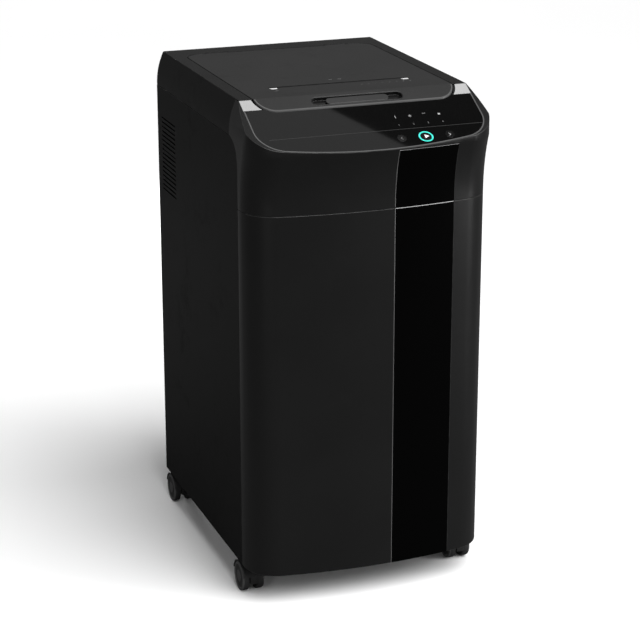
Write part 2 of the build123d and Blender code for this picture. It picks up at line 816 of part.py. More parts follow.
with BuildPart() as lid_shell:
    add(lid_block(0, 0, lid_depth))
    add(lid_block(-wall, wall, lid_depth + wall), mode=Mode.SUBTRACT)
    add(bead_groove.part, mode=Mode.SUBTRACT)
    with BuildSketch(Plane.XY.offset(height - wall)):
        with Locations((0, slot_y)):
            Rectangle(slot_length + 2 * slot_wall, slot_width + 2 * slot_wall)
    extrude(amount=wall, mode=Mode.SUBTRACT)
    with BuildSketch(slope_plane.offset(-slope_wall)):
        with Locations((0, pocket_row)):
            SlotOverall(latch_pocket_length, latch_pocket_width)
    extrude(amount=2 * slope_wall, mode=Mode.SUBTRACT)
    for side in (-1, 1):
        left_x = side * hinge_offset - hinge_length / 2
        with BuildSketch(Plane.YZ.offset(left_x)):
            with Locations((hinge_y, hinge_z)):
                Circle(hinge_barrel)
            with Locations(((lid_rear_y - wall / 2 + hinge_y) / 2, hinge_z)):
                Rectangle(hinge_y - lid_rear_y + wall / 2, 2 * hinge_barrel - 0.4)
        extrude(amount=hinge_length)
        with BuildSketch(Plane.YZ.offset(left_x)):
            with Locations((hinge_y, hinge_z)):
                Circle(hinge_pin_radius + shaft_fit)
        extrude(amount=hinge_length, mode=Mode.SUBTRACT)
save(lid_shell, "lid_shell")

liner_top = lid_depth - wall
tray_middle_y = (tray_front_y + tray_rear_y) / 2
plate_front_y = slot_y + slot_width + plate_margin
plate_rear_y = tray_rear_y - plate_margin
plate_half = paper_width / 2 - plate_margin
posts = [
    (side * (plate_half - post_inset), y)
    for side in (-1, 1)
    for y in (plate_front_y + post_inset, plate_rear_y - post_inset)
]
with BuildPart() as lid_liner:
    add(lid_block(-wall, liner_top, lid_depth))
    with BuildSketch(Plane.XY.offset(lid_base_z)):
        with Locations((0, slot_y)):
            Rectangle(slot_length + 2 * slot_wall, slot_width + 2 * slot_wall)
        with Locations(*posts):
            Circle(post_radius + slide_fit)
    extrude(amount=wall, mode=Mode.SUBTRACT)
    with BuildSketch(slope_plane.offset(-3 * slope_wall)):
        with GridLocations(2 * hook_offset, 0, 2, 1):
            with Locations((0, pocket_row)):
                Rectangle(hook_width + 2 * slide_fit, hook_thickness + 4)
    extrude(amount=3 * slope_wall, mode=Mode.SUBTRACT)
save(lid_liner, "lid_liner")

with BuildPart() as slot_guide:
    with BuildSketch(Plane.XY.offset(lid_base_z)):
        with Locations((0, slot_y)):
            Rectangle(slot_length + 2 * slot_wall, slot_width + 2 * slot_wall)
            RectangleRounded(slot_length, slot_width, slot_width / 2 - 0.2, mode=Mode.SUBTRACT)
    extrude(amount=lid_depth)
save(slot_guide, "slot_guide")

with BuildPart() as latch_bezel:
    with BuildSketch(slope_plane):
        with Locations((0, pocket_row)):
            SlotOverall(latch_pocket_length, latch_pocket_width)
    extrude(amount=-latch_pocket_depth)
    with BuildSketch(slope_plane):
        with Locations((0, pocket_row)):
            SlotOverall(
                latch_pocket_length - 2 * latch_pocket_wall, latch_pocket_width - 2 * latch_pocket_wall
            )
    extrude(amount=latch_pocket_wall - latch_pocket_depth, mode=Mode.SUBTRACT)
    with BuildSketch(slope_plane):
        with GridLocations(2 * hook_offset, 0, 2, 1):
            with Locations((0, pocket_row)):
                Rectangle(hook_width + 2 * slide_fit, hook_thickness + 2 * slide_fit)
    extrude(amount=-latch_pocket_depth, mode=Mode.SUBTRACT)
save(latch_bezel, "latch_bezel")

with BuildPart() as latch_bar:
    with BuildSketch(slope_plane.offset(-latch_lip)):
        with Locations((0, pocket_row)):
            SlotOverall(latch_bar_length, latch_bar_width)
    extrude(amount=-latch_bar_thickness)
    fillet(latch_bar.faces().sort_by(Axis.Z)[-1].edges(), 0.8)
save(latch_bar, "latch_bar")

with BuildPart() as latch_hooks:
    with BuildSketch(slope_plane.offset(-latch_lip - latch_bar_thickness)):
        with GridLocations(2 * hook_offset, 0, 2, 1):
            with Locations((0, pocket_row)):
                Rectangle(hook_width, hook_thickness)
    extrude(amount=-hook_length)
    with BuildSketch(slope_plane.offset(-latch_lip - latch_bar_thickness - hook_length)):
        with GridLocations(2 * hook_offset, 0, 2, 1):
            with Locations((0, pocket_row - hook_thickness)):
                Rectangle(hook_width, hook_thickness)
    extrude(amount=2.5)
save(latch_hooks, "latch_hooks")

with BuildPart() as pressure_plate:
    with BuildSketch(Plane.XY.offset(plate_z - plate_thickness)):
        with Locations((0, (plate_front_y + plate_rear_y) / 2)):
            RectangleRounded(2 * plate_half, plate_rear_y - plate_front_y, 8)
    extrude(amount=plate_thickness)
    with BuildSketch(Plane.XY.offset(plate_z)):
        with Locations(*posts):
            Circle(post_radius)
    extrude(amount=plate_drop + wall + 0.2)
    with BuildSketch(Plane.XY.offset(liner_z + 0.2)):
        with Locations(*posts):
            Circle(post_radius + 2)
    extrude(amount=1.6)
save(pressure_plate, "pressure_plate")

spring_height = plate_drop - 2 * spring_wire
with BuildPart() as one_coil:
    with BuildLine(Plane.XY.offset(plate_z + spring_wire)) as coil_line:
        Helix(pitch=spring_height / 5, height=spring_height, radius=post_radius + 2)
    with BuildSketch(Plane(coil_line.line @ 0, z_dir=coil_line.line % 0)):
        Circle(spring_wire)
    sweep(path=coil_line.line, is_frenet=True)

with BuildPart() as plate_springs:
    with Locations(*posts):
        add(one_coil.part)
save(plate_springs, "plate_springs")

# ---------------------------------------------------------------- paper tray and feed
with BuildPart() as paper_tray:
    with BuildSketch(Plane.XY.offset(tray_floor_z - tray_wall)):
        with Locations((0, tray_middle_y)):
            Rectangle(paper_width + 2 * tray_wall, paper_length + 2 * tray_wall)
    extrude(amount=tray_depth + tray_wall)
    with BuildSketch(Plane.XY.offset(well_z)):
        with Locations((0, tray_middle_y)):
            Rectangle(
                paper_width + 2 * tray_wall + 2 * tray_flange, paper_length + 2 * tray_wall + tray_flange
            )
    extrude(amount=2)
    with BuildSketch(Plane.XY.offset(tray_floor_z)):
        with Locations((0, tray_middle_y)):
            Rectangle(paper_width, paper_length)
    extrude(amount=2 * tray_depth, mode=Mode.SUBTRACT)
    with BuildSketch(Plane.XY.offset(tray_floor_z - tray_wall)):
        with Locations((0, slot_y)):
            Rectangle(paper_width, 2 * slot_width)
            with GridLocations(roller_pitch, roller_spread, 4, 2):
                Rectangle(roller_width + 4, 2 * roller_radius)
    extrude(amount=tray_wall, mode=Mode.SUBTRACT)
save(paper_tray, "paper_tray")

feed_phase = 180.0 / feed_gear_teeth
feed_rollers = {
    "feed_roller_front": (front_roller_y, 0.0),
    "feed_roller_rear": (rear_roller_y, feed_phase),
}
for name, (y, phase) in feed_rollers.items():
    with BuildPart() as feed_roller:
        shaft_length = 2 * plate_outer_x + gear_gap + feed_gear_face
        add(cross_shaft(-plate_outer_x, y, roller_z, roller_shaft_radius, shaft_length))
        for step in range(4):
            roller_x = (step - 1.5) * roller_pitch - roller_width / 2
            add(cross_shaft(roller_x, y, roller_z, roller_radius, roller_width))
        add(
            spur_gear(
                plate_outer_x + gear_gap,
                y,
                roller_z,
                feed_gear_face,
                feed_gear_teeth,
                roller_spread / feed_gear_teeth,
                phase,
            )
        )
        if y == front_roller_y:
            add(cross_shaft(-plate_outer_x - 8, y, roller_z, roller_shaft_radius - 1, 8))
    save(feed_roller, name)

with BuildPart() as feed_motor:
    feed_motor_x = -plate_outer_x - feed_motor_length
    add(cross_shaft(feed_motor_x, front_roller_y, roller_z, feed_motor_radius, feed_motor_length))
    with BuildSketch(Plane.YZ.offset(-plate_outer_x - 12)):
        with Locations((front_roller_y, roller_z)):
            Circle(roller_shaft_radius - 1 + shaft_fit)
    extrude(amount=12, mode=Mode.SUBTRACT)
save(feed_motor, "feed_motor")

# ---------------------------------------------------------------- cutting unit
cutter_front_edge_y = slot_y - side_plate_front
motor_rear_edge_y = motor_y + motor_radius + 4
plate_height = roller_z + roller_shaft_radius + 2 - head_floor_z
bush_radius = journal_radius + shaft_fit + bush_wall
rod_places = [
    (cutter_front_edge_y + 8, head_floor_z + 10),
    (cutter_front_edge_y + 8, roller_z - 8),
    (motor_rear_edge_y - 8, head_floor_z + 10),
    (motor_rear_edge_y - 8, roller_z - 4),
]
cutter_axes = [(front_cutter_y, cutter_z), (rear_cutter_y, cutter_z)]
roller_axes = [(front_roller_y, roller_z), (rear_roller_y, roller_z)]
with BuildPart() as side_plates:
    for x in (-plate_outer_x, plate_inner_x):
        with BuildSketch(Plane.YZ.offset(x)):
            with Locations(
                ((cutter_front_edge_y + motor_rear_edge_y) / 2, head_floor_z + plate_height / 2)
            ):
                Rectangle(motor_rear_edge_y - cutter_front_edge_y, plate_height)
            with Locations(*rod_places):
                Circle(tie_rod_radius, mode=Mode.SUBTRACT)
            with Locations(*cutter_axes):
                Circle(bush_radius, mode=Mode.SUBTRACT)
            with Locations(*roller_axes):
                Circle(roller_shaft_radius + shaft_fit, mode=Mode.SUBTRACT)
            with Locations((motor_y, cutter_z)):
                Circle(motor_shaft_radius + 1, mode=Mode.SUBTRACT)
            with Locations((idler_y, cutter_z)):
                Circle(tie_rod_radius, mode=Mode.SUBTRACT)
        extrude(amount=side_plate_thickness)
save(side_plates, "side_plates")

with BuildPart() as tie_rods:
    for y, z in rod_places:
        add(cross_shaft(-plate_outer_x - 3, y, z, tie_rod_radius, 2 * plate_outer_x + 6))
    add(cross_shaft(plate_inner_x, idler_y, cutter_z, tie_rod_radius, 3 * gear_face + side_plate_thickness))
save(tie_rods, "tie_rods")

with BuildPart() as cutter_bushes:
    for x in (-plate_outer_x, plate_inner_x):
        with BuildSketch(Plane.YZ.offset(x)):
            with Locations(*cutter_axes):
                Circle(bush_radius)
                Circle(journal_radius + shaft_fit, mode=Mode.SUBTRACT)
        extrude(amount=side_plate_thickness)
save(cutter_bushes, "cutter_bushes")

disc_count = int((cutter_width - cutter_pitch) / cutter_pitch)
first_disc_x = -(disc_count - 1) * cutter_pitch / 2 - cutter_pitch / 4
for y, shift, name in (
    (front_cutter_y, 0.0, "cutter_front"),
    (rear_cutter_y, cutter_pitch / 2, "cutter_rear"),
):
    disc_planes = [
        Plane.YZ.offset(first_disc_x + shift - cutter_disc_thickness / 2 + step * cutter_pitch)
        for step in range(disc_count)
    ]
    with BuildPart() as cutter:
        add(cross_shaft(-cutter_width / 2, y, cutter_z, cutter_core_radius, cutter_width))
        add(cross_shaft(-plate_outer_x, y, cutter_z, journal_radius, plate_outer_x + gear_x + gear_face))
        with BuildSketch(*disc_planes):
            with Locations((y, cutter_z)):
                Circle(cutter_disc_radius)
                with PolarLocations(cutter_disc_radius, cutter_hooks):
                    Rectangle(7, 5, rotation=35, mode=Mode.SUBTRACT)
        extrude(amount=cutter_disc_thickness)
    save(cutter, name)

gear_phase = 180.0 / cutter_gear_teeth
for y, phase, name in (
    (front_cutter_y, 0.0, "cutter_gear_front"),
    (rear_cutter_y, gear_phase, "cutter_gear_rear"),
):
    with BuildPart() as cutter_gear:
        add(spur_gear(gear_x, y, cutter_z, gear_face, cutter_gear_teeth, cutter_module, phase))
        with BuildSketch(Plane.YZ.offset(gear_x)):
            with Locations((y, cutter_z)):
                Circle(journal_radius)
        extrude(amount=gear_face, mode=Mode.SUBTRACT)
    save(cutter_gear, name)

with BuildPart() as reduction_gear:
    add(spur_gear(gear_x, idler_y, cutter_z, gear_face + gear_gap, idler_teeth, cutter_module))
    add(spur_gear(reduction_x, idler_y, cutter_z, gear_face, reduction_teeth, motor_module))
    with BuildSketch(Plane.YZ.offset(gear_x)):
        with Locations((idler_y, cutter_z)):
            Circle(tie_rod_radius + shaft_fit)
    extrude(amount=reduction_x + gear_face - gear_x, mode=Mode.SUBTRACT)
save(reduction_gear, "reduction_gear")

with BuildPart() as motor:
    add(cross_shaft(plate_inner_x - motor_length, motor_y, cutter_z, motor_radius, motor_length))
    add(cross_shaft(plate_inner_x - motor_length - 8, motor_y, cutter_z, motor_radius / 2, 8))
    with BuildSketch(Plane.YZ.offset(plate_inner_x)):
        with Locations((motor_y, cutter_z)):
            Circle(motor_shaft_radius + shaft_fit)
    extrude(amount=-motor_length / 2, mode=Mode.SUBTRACT)
    with BuildSketch(Plane.XY.offset(head_floor_z)):
        with Locations((plate_inner_x - motor_length / 2, motor_y)):
            Rectangle(motor_length / 2, motor_radius)
    extrude(amount=cutter_z - motor_radius + 3 - head_floor_z)
save(motor, "motor")

with BuildPart() as motor_pinion:
    shaft_start_x = plate_inner_x - motor_length / 2 + 1
    add(
        cross_shaft(
            shaft_start_x, motor_y, cutter_z, motor_shaft_radius, reduction_x + gear_face - shaft_start_x
        )
    )
    pinion_phase = 180.0 / pinion_teeth
    add(spur_gear(reduction_x, motor_y, cutter_z, gear_face, pinion_teeth, motor_module, pinion_phase))
save(motor_pinion, "motor_pinion")

# ---------------------------------------------------------------- electrics
control_x = control_side_gap + control_length / 2 - half
control_y = rear_y - control_rear_gap - control_width / 2
with BuildPart() as control_board:
    board_plane = Plane.XY.offset(head_floor_z + control_rise)
    with BuildSketch(board_plane):
        with Locations((control_x, control_y)):
            Rectangle(control_length, control_width)
    extrude(amount=board_thickness)
    with BuildSketch(Plane.XY.offset(head_floor_z)):
        with Locations((control_x, control_y)):
            with GridLocations(control_length - 12, control_width - 12, 2, 2):
                Circle(3)
    extrude(amount=control_rise)
    with BuildSketch(board_plane.offset(board_thickness)):
        with Locations((control_x - control_length / 4, control_y + control_width / 6)):
            Rectangle(transformer_length, transformer_width)
    extrude(amount=transformer_height)
    with BuildSketch(board_plane.offset(board_thickness)):
        with Locations((control_x + control_length / 5, control_y)):
            with GridLocations(0, control_width / 2, 1, 2):
                Circle(capacitor_radius)
    extrude(amount=capacitor_height)
save(control_board, "control_board")

with BuildPart() as fan_frame:
    fan_plane = Plane.XZ.offset(wall - rear_y)
    with BuildSketch(fan_plane):
        with Locations((fan_x, fan_z)):
            Rectangle(fan_size, fan_size)
            Circle(fan_size / 2 - 2, mode=Mode.SUBTRACT)
    extrude(amount=fan_depth)
    with BuildSketch(fan_plane.offset(fan_depth - 2)):
        with Locations((fan_x, fan_z)):
            Rectangle(fan_size - 1, 4)
            Rectangle(4, fan_size - 1)
            Circle(15)
            Circle(2 + shaft_fit, mode=Mode.SUBTRACT)
    extrude(amount=2)
save(fan_frame, "fan_frame")

with BuildPart() as fan_rotor:
    with BuildSketch(fan_plane.offset(1)):
        with Locations((fan_x, fan_z)):
            Circle(14)
            with PolarLocations(23, 7, start_angle=8):
                Rectangle(22, 9, rotation=18)
    extrude(amount=fan_depth - 4)
    with BuildSketch(fan_plane.offset(fan_depth - 3)):
        with Locations((fan_x, fan_z)):
            Circle(2)
    extrude(amount=3)
save(fan_rotor, "fan_rotor")

socket_x = inlet_x - inlet_width / 4 + 2
rocker_x = inlet_x + inlet_width / 4 + 2
inlet_plane = Plane.XZ.offset(-rear_y)
with BuildPart() as mains_inlet:
    with BuildSketch(inlet_plane):
        with Locations((inlet_x, inlet_z)):
            Rectangle(inlet_width, inlet_height)
    extrude(amount=inlet_depth)
    with BuildSketch(inlet_plane):
        with Locations((socket_x, inlet_z)):
            RectangleRounded(24, 17, 3)
        with Locations((rocker_x, inlet_z)):
            Rectangle(rocker_width + 2 * slide_fit, rocker_height + 2 * slide_fit + 2)
    extrude(amount=inlet_depth - 3, mode=Mode.SUBTRACT)
    with BuildSketch(inlet_plane.offset(inlet_depth - 3)):
        with Locations((socket_x - 7, inlet_z - 2), (socket_x, inlet_z + 2), (socket_x + 7, inlet_z - 2)):
            Rectangle(2, 4)
    extrude(amount=-(inlet_depth - 8))
    with BuildSketch(Plane.YZ.offset(rocker_x - rocker_width / 2 - 3)):
        with Locations((rear_y - rocker_height / 2, inlet_z)):
            Circle(1.5 + shaft_fit)
    extrude(amount=rocker_width + 6, mode=Mode.SUBTRACT)
save(mains_inlet, "mains_inlet")

rocker_axis = Axis((rocker_x, rear_y - rocker_height / 2, inlet_z), (1, 0, 0))
with BuildPart() as level_rocker:
    with BuildSketch(Plane.YZ.offset(rocker_x - rocker_width / 2)):
        with BuildLine():
            Polyline(
                (rear_y - rocker_height / 2 - 3, inlet_z - 3),
                (rear_y - 3, inlet_z - rocker_height / 2 + 0.5),
                (rear_y - 4, inlet_z),
                (rear_y - 3, inlet_z + rocker_height / 2 - 0.5),
                (rear_y - rocker_height / 2 - 3, inlet_z + 3),
                close=True,
            )
        make_face()
    extrude(amount=rocker_width)
    add(
        cross_shaft(
            rocker_x - rocker_width / 2 - 2.5, rear_y - rocker_height / 2, inlet_z, 1.5, rocker_width + 5
        )
    )
with BuildPart() as rocker:
    add(level_rocker.part.rotate(rocker_axis, rocker_angle))
save(rocker, "rocker")

# ---------------------------------------------------------------- waste bin
bin_top_z = seam_z - seam / 2
with BuildPart() as tub_outside:
    add(plan_outline(tub_z, face_y, bin_clearance))
    extrude(amount=bin_height)
    with BuildSketch(Plane.XY.offset(tub_z)):
        with Locations((0, tub_rear_y + depth / 2)):
            Rectangle(width, depth)
    extrude(amount=bin_height, mode=Mode.SUBTRACT)

with BuildPart() as tub_inside:
    add(plan_outline(tub_z + bin_wall, face_y, bin_clearance + bin_wall))
    extrude(amount=bin_height)
    with BuildSketch(Plane.XY.offset(tub_z)):
        with Locations((0, tub_rear_y - bin_wall + depth / 2)):
            Rectangle(width, depth)
    extrude(amount=2 * bin_height, mode=Mode.SUBTRACT)

with BuildPart() as bin_tub:
    add(tub_outside.part)
    add(tub_inside.part, mode=Mode.SUBTRACT)
save(bin_tub, "bin_tub")

with BuildPart() as bin_strip_groove:
    add(plan_outline(base_z, face_y, -wall))
    extrude(amount=bin_top_z - base_z)
    add(plan_outline(base_z, face_y, strip_thickness))
    extrude(amount=bin_top_z - base_z, mode=Mode.SUBTRACT)
    with BuildSketch(Plane.XY.offset(base_z)):
        with Locations(((strip_left + strip_right) / 2, face_y)):
            Rectangle(strip_right - strip_left + 2 * strip_gap, 2 * corner_radius)
    extrude(amount=height, mode=Mode.INTERSECT)

with BuildPart() as bin_ribs:
    add(plan_outline(tub_z + bin_clearance, face_y, wall))
    extrude(amount=bin_height - 2 * bin_clearance)
    with BuildSketch(Plane.XY.offset(tub_z)):
        with GridLocations(2 * rib_offset, 0, 2, 1):
            with Locations((0, face_y)):
                Rectangle(rib_width, 4 * bin_clearance)
    extrude(amount=bin_height, mode=Mode.INTERSECT)
    add(tub_outside.part, mode=Mode.SUBTRACT)

with BuildPart() as bin_front:
    add(plan_outline(base_z, face_y))
    extrude(amount=bin_top_z - base_z)
    add(plan_outline(base_z, face_y, wall))
    extrude(amount=bin_top_z - base_z - wall, mode=Mode.SUBTRACT)
    add(plan_outline(base_z, face_y, wall + bin_rim))
    extrude(amount=bin_top_z - base_z, mode=Mode.SUBTRACT)
    with BuildSketch(Plane.XY.offset(base_z)):
        with Locations((0, side_y - seam + depth)):
            Rectangle(2 * width, 2 * depth)
    extrude(amount=height, mode=Mode.SUBTRACT)
    add(bin_strip_groove.part, mode=Mode.SUBTRACT)
    add(bin_ribs.part)
save(bin_front, "bin_front")

with BuildPart() as bin_strip:
    add(plan_outline(base_z, face_y))
    extrude(amount=bin_top_z - base_z)
    add(plan_outline(base_z, face_y, strip_thickness))
    extrude(amount=bin_top_z - base_z, mode=Mode.SUBTRACT)
    with BuildSketch(Plane.XY.offset(base_z)):
        with Locations(((strip_left + strip_right) / 2, face_y)):
            Rectangle(strip_right - strip_left, 2 * corner_radius)
    extrude(amount=height, mode=Mode.INTERSECT)
save(bin_strip, "bin_strip")

# ---------------------------------------------------------------- casters
web_half = caster_web / 2
wheel_gap = 0.4
hood_radius = wheel_radius + 1 + hood_wall
for place, (side, stem_y) in casters.items():
    stem_x = side * (half - caster_side_inset)
    wheel_y = stem_y + caster_trail
    reach = web_half + wheel_gap + wheel_width
    with BuildPart() as caster_body:
        with BuildSketch(Plane.YZ.offset(stem_x - reach)):
            with Locations((wheel_y, wheel_radius)):
                Circle(hood_radius)
                Circle(wheel_radius + 1, mode=Mode.SUBTRACT)
            with Locations((wheel_y, wheel_radius - hood_radius)):
                Rectangle(4 * hood_radius, 2 * hood_radius + 12, mode=Mode.SUBTRACT)
        extrude(amount=2 * reach)
        with BuildSketch(Plane.YZ.offset(stem_x - web_half)):
            with Locations((wheel_y, wheel_radius)):
                Circle(wheel_radius + 1.5)
            with Locations((wheel_y, wheel_radius - hood_radius)):
                Rectangle(4 * hood_radius, 2 * hood_radius - 14, mode=Mode.SUBTRACT)
        extrude(amount=caster_web)
        with BuildSketch(Plane.XY.offset(wheel_radius)):
            with Locations((stem_x, stem_y)):
                Circle(stem_radius)
        extrude(amount=caster_height - wheel_radius + base_thickness + boss_height)
        with BuildSketch(Plane.YZ.offset(stem_x - web_half)):
            with Locations((wheel_y, wheel_radius)):
                Circle(axle_radius + shaft_fit)
        extrude(amount=caster_web, mode=Mode.SUBTRACT)
    save(caster_body, f"caster_{place}")
    with BuildPart() as caster_wheels:
        for start in (stem_x - reach, stem_x + web_half + wheel_gap):
            with BuildSketch(Plane.YZ.offset(start)):
                with Locations((wheel_y, wheel_radius)):
                    Circle(wheel_radius)
            extrude(amount=wheel_width)
        fillet(caster_wheels.edges().filter_by(GeomType.CIRCLE), 2)
        add(cross_shaft(stem_x - reach + 1, wheel_y, wheel_radius, axle_radius, 2 * reach - 2))
    save(caster_wheels, f"caster_{place}_wheels")
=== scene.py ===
import json
import math

import bmesh
import bpy
from mathutils import Matrix, Quaternion, Vector


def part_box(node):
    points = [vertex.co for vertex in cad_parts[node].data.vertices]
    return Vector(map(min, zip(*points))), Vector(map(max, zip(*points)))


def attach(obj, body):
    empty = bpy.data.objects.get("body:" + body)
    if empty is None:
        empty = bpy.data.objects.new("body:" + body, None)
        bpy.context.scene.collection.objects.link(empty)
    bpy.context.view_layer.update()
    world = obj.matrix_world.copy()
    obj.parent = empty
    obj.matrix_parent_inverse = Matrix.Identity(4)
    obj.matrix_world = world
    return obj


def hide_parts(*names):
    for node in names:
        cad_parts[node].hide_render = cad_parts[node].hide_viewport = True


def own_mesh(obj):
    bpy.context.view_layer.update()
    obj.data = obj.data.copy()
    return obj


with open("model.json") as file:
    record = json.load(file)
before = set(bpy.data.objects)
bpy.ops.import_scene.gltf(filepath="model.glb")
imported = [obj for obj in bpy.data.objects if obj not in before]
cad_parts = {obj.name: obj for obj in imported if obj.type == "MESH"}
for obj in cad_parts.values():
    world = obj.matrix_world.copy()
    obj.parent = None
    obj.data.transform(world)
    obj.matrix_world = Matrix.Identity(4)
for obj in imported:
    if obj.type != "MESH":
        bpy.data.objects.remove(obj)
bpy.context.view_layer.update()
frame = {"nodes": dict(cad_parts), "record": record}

# ---------------------------------------------------------------- places read from the frame
mm = 0.001
top_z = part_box("lid_shell")[1].z
lip_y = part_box("front_housing")[0].y
slope_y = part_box("top_frame")[0].y
slope_run = slope_y - lip_y
slope_drop = 68 * mm
slope_angle = math.atan2(slope_drop, slope_run)
console_place = Matrix.Translation((0, slope_y, top_z)) @ Matrix.Rotation(slope_angle, 4, "X")
strip_low, strip_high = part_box("upper_strip")
slot_low, slot_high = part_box("slot_guide")
slot_y = (slot_low.y + slot_high.y) / 2
key_x = (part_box("power_key")[0].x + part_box("power_key")[1].x) / 2
key_spread = (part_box("forward_key")[0].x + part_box("forward_key")[1].x) / 2 - key_x
key_row = -120 * mm
caster_places = ("front_left", "front_right", "rear_left", "rear_right")


# ---------------------------------------------------------------- effects shared by the finishes
def effect(name, inputs, outputs):
    """An empty effect with its named inputs and outputs."""
    group = bpy.data.node_groups.new(name, "ShaderNodeTree")
    for label, value in inputs.items():
        socket = group.interface.new_socket(label, in_out="INPUT", socket_type="NodeSocketFloat")
        socket.default_value = value
    for label in outputs:
        group.interface.new_socket(label, in_out="OUTPUT", socket_type="NodeSocketFloat")
    return group, group.nodes.new("NodeGroupInput"), group.nodes.new("NodeGroupOutput")


def add_node(tree, kind, settings=None, **inputs):
    """A node with its settings and its input values or links."""
    node = tree.nodes.new(kind)
    for key, value in (settings or {}).items():
        setattr(node, key, value)
    for key, value in inputs.items():
        by_place = key[0] == "i" and key[1:].isdigit()
        socket = node.inputs[int(key[1:])] if by_place else node.inputs[key.replace("_", " ")]
        if isinstance(value, bpy.types.NodeSocket):
            tree.links.new(value, socket)
        else:
            socket.default_value = value
    return node


def maths(tree, operation, a, b=0.0, clamp=False):
    settings = {"operation": operation, "use_clamp": clamp}
    return add_node(tree, "ShaderNodeMath", settings, i0=a, i1=b).outputs[0]


def ramp(tree, value, low, high, to_low=0.0, to_high=1.0):
    """A soft step of value between low and high."""
    settings = {"interpolation_type": "SMOOTHSTEP"}
    node = add_node(tree, "ShaderNodeMapRange", settings, i0=value, i1=low, i2=high, i3=to_low, i4=to_high)
    return node.outputs[0]


def place_coordinates(tree, stretch=(1, 1, 1)):
    """Object coordinates, stretched along the three axes."""
    coordinates = add_node(tree, "ShaderNodeTexCoord").outputs["Object"]
    return add_node(tree, "ShaderNodeMapping", Vector=coordinates, Scale=stretch).outputs[0]


def noise(tree, vector, scale, detail=2.0, roughness=0.5):
    return add_node(
        tree, "ShaderNodeTexNoise", Vector=vector, Scale=scale, Detail=detail, Roughness=roughness
    ).outputs[0]


def moulded_grain():
    """Spark-eroded mould texture: a height for the bump and a slight change of tone."""
    group, given, result = effect("moulded grain", {"Scale": 900.0}, ("Height", "Tone"))
    where = place_coordinates(group)
    cells = add_node(
        group, "ShaderNodeTexVoronoi", {"feature": "SMOOTH_F1"}, Vector=where, Scale=given.outputs[0]
    )
    speckle = noise(group, where, given.outputs[0], 2.0, 0.6)
    height = maths(group, "MULTIPLY", cells.outputs[0], speckle)
    group.links.new(height, result.inputs["Height"])
    patches = noise(group, where, 7.0, 3.0)
    group.links.new(ramp(group, patches, 0.3, 0.7), result.inputs["Tone"])
    return group


def handling_film():
    """Finger smudges, settled dust on what faces up, and fine scratches."""
    group, given, result = effect("handling film", {"Dust": 0.5}, ("Smudge", "Dust", "Scratch"))
    where = place_coordinates(group)
    broad = noise(group, where, 11.0, 4.0, 0.62)
    fine = noise(group, where, 46.0, 3.0, 0.6)
    smudge = maths(group, "MULTIPLY", ramp(group, broad, 0.42, 0.72), ramp(group, fine, 0.35, 0.7))
    group.links.new(smudge, result.inputs["Smudge"])
    normal = add_node(group, "ShaderNodeNewGeometry").outputs["Normal"]
    up = add_node(group, "ShaderNodeSeparateXYZ", Vector=normal).outputs["Z"]
    specks = ramp(group, noise(group, where, 1300.0, 2.0), 0.62, 0.74)
    lying = maths(group, "MULTIPLY", ramp(group, up, 0.4, 1.0), given.outputs["Dust"])
    group.links.new(maths(group, "MULTIPLY", specks, lying), result.inputs["Dust"])
    along = noise(group, place_coordinates(group, (30, 900, 500)), 1.0, 3.0, 0.55)
    group.links.new(ramp(group, along, 0.70, 0.78), result.inputs["Scratch"])
    return group


def edge_wear_and_highlight():
    """Where corners are made paler, partly as wear and partly as a painted highlight along the edges, broken
    up along their length.
    """
    group, given, result = effect("rubbed edge", {"Width": 0.0012, "Amount": 1.0}, ("Mask",))
    rounded = add_node(group, "ShaderNodeBevel", {"samples": 4}, Radius=given.outputs["Width"]).outputs[0]
    flat = add_node(group, "ShaderNodeNewGeometry").outputs["Normal"]
    agree = add_node(group, "ShaderNodeVectorMath", {"operation": "DOT_PRODUCT"}, i0=rounded, i1=flat)
    edge = ramp(group, agree.outputs["Value"], 0.995, 0.90)
    broken = ramp(group, noise(group, place_coordinates(group), 60.0, 3.0), 0.3, 0.65, 0.35, 1.0)
    mask = maths(group, "MULTIPLY", maths(group, "MULTIPLY", edge, broken), given.outputs["Amount"])
    group.links.new(mask, result.inputs["Mask"])
    return group


def rounding_wear_and_highlight():
    """Where the modelled roundings of a cover are made paler, partly as wear and partly as a painted
    highlight, broken up along their length.
    """
    group, given, result = effect("worn rounding", {"Amount": 1.0}, ("Mask",))
    rounding = add_node(group, "ShaderNodeAttribute", {"attribute_name": "rounding"}).outputs["Fac"]
    broken = ramp(group, noise(group, place_coordinates(group), 60.0, 3.0), 0.3, 0.65, 0.35, 1.0)
    mask = maths(group, "MULTIPLY", maths(group, "MULTIPLY", rounding, broken), given.outputs["Amount"])
    group.links.new(mask, result.inputs["Mask"])
    return group


def drawn_metal():
    """Fine marks of rolling or grinding along one axis."""
    group, given, result = effect("drawn metal", {"Scale": 1.0}, ("Height", "Tone"))
    lines = noise(group, place_coordinates(group, (14, 1400, 1400)), given.outputs["Scale"], 4.0, 0.65)
    group.links.new(lines, result.inputs["Height"])
    cloud = noise(group, place_coordinates(group), 24.0, 4.0, 0.6)
    group.links.new(ramp(group, cloud, 0.3, 0.7), result.inputs["Tone"])
    return group


grain_effect = moulded_grain()
film_effect = handling_film()
edge_effect = edge_wear_and_highlight()
rounding_effect = rounding_wear_and_highlight()
metal_effect = drawn_metal()


def start_finish(name):
    material = bpy.data.materials.new(name)
    material.use_nodes = True
    tree = material.node_tree
    return material, tree, tree.nodes["Principled BSDF"]


def place_effect(tree, group, **values):
    node = tree.nodes.new("ShaderNodeGroup")
    node.node_tree = group
    for label, value in values.items():
        node.inputs[label].default_value = value
    return node


def blend_colours(tree, mask, first, second):
    node = add_node(tree, "ShaderNodeMix", {"data_type": "RGBA"})
    for socket, value in ((node.inputs[0], mask), (node.inputs[6], first), (node.inputs[7], second)):
        if isinstance(value, bpy.types.NodeSocket):
            tree.links.new(value, socket)
        else:
            socket.default_value = value
    return node.outputs[2]


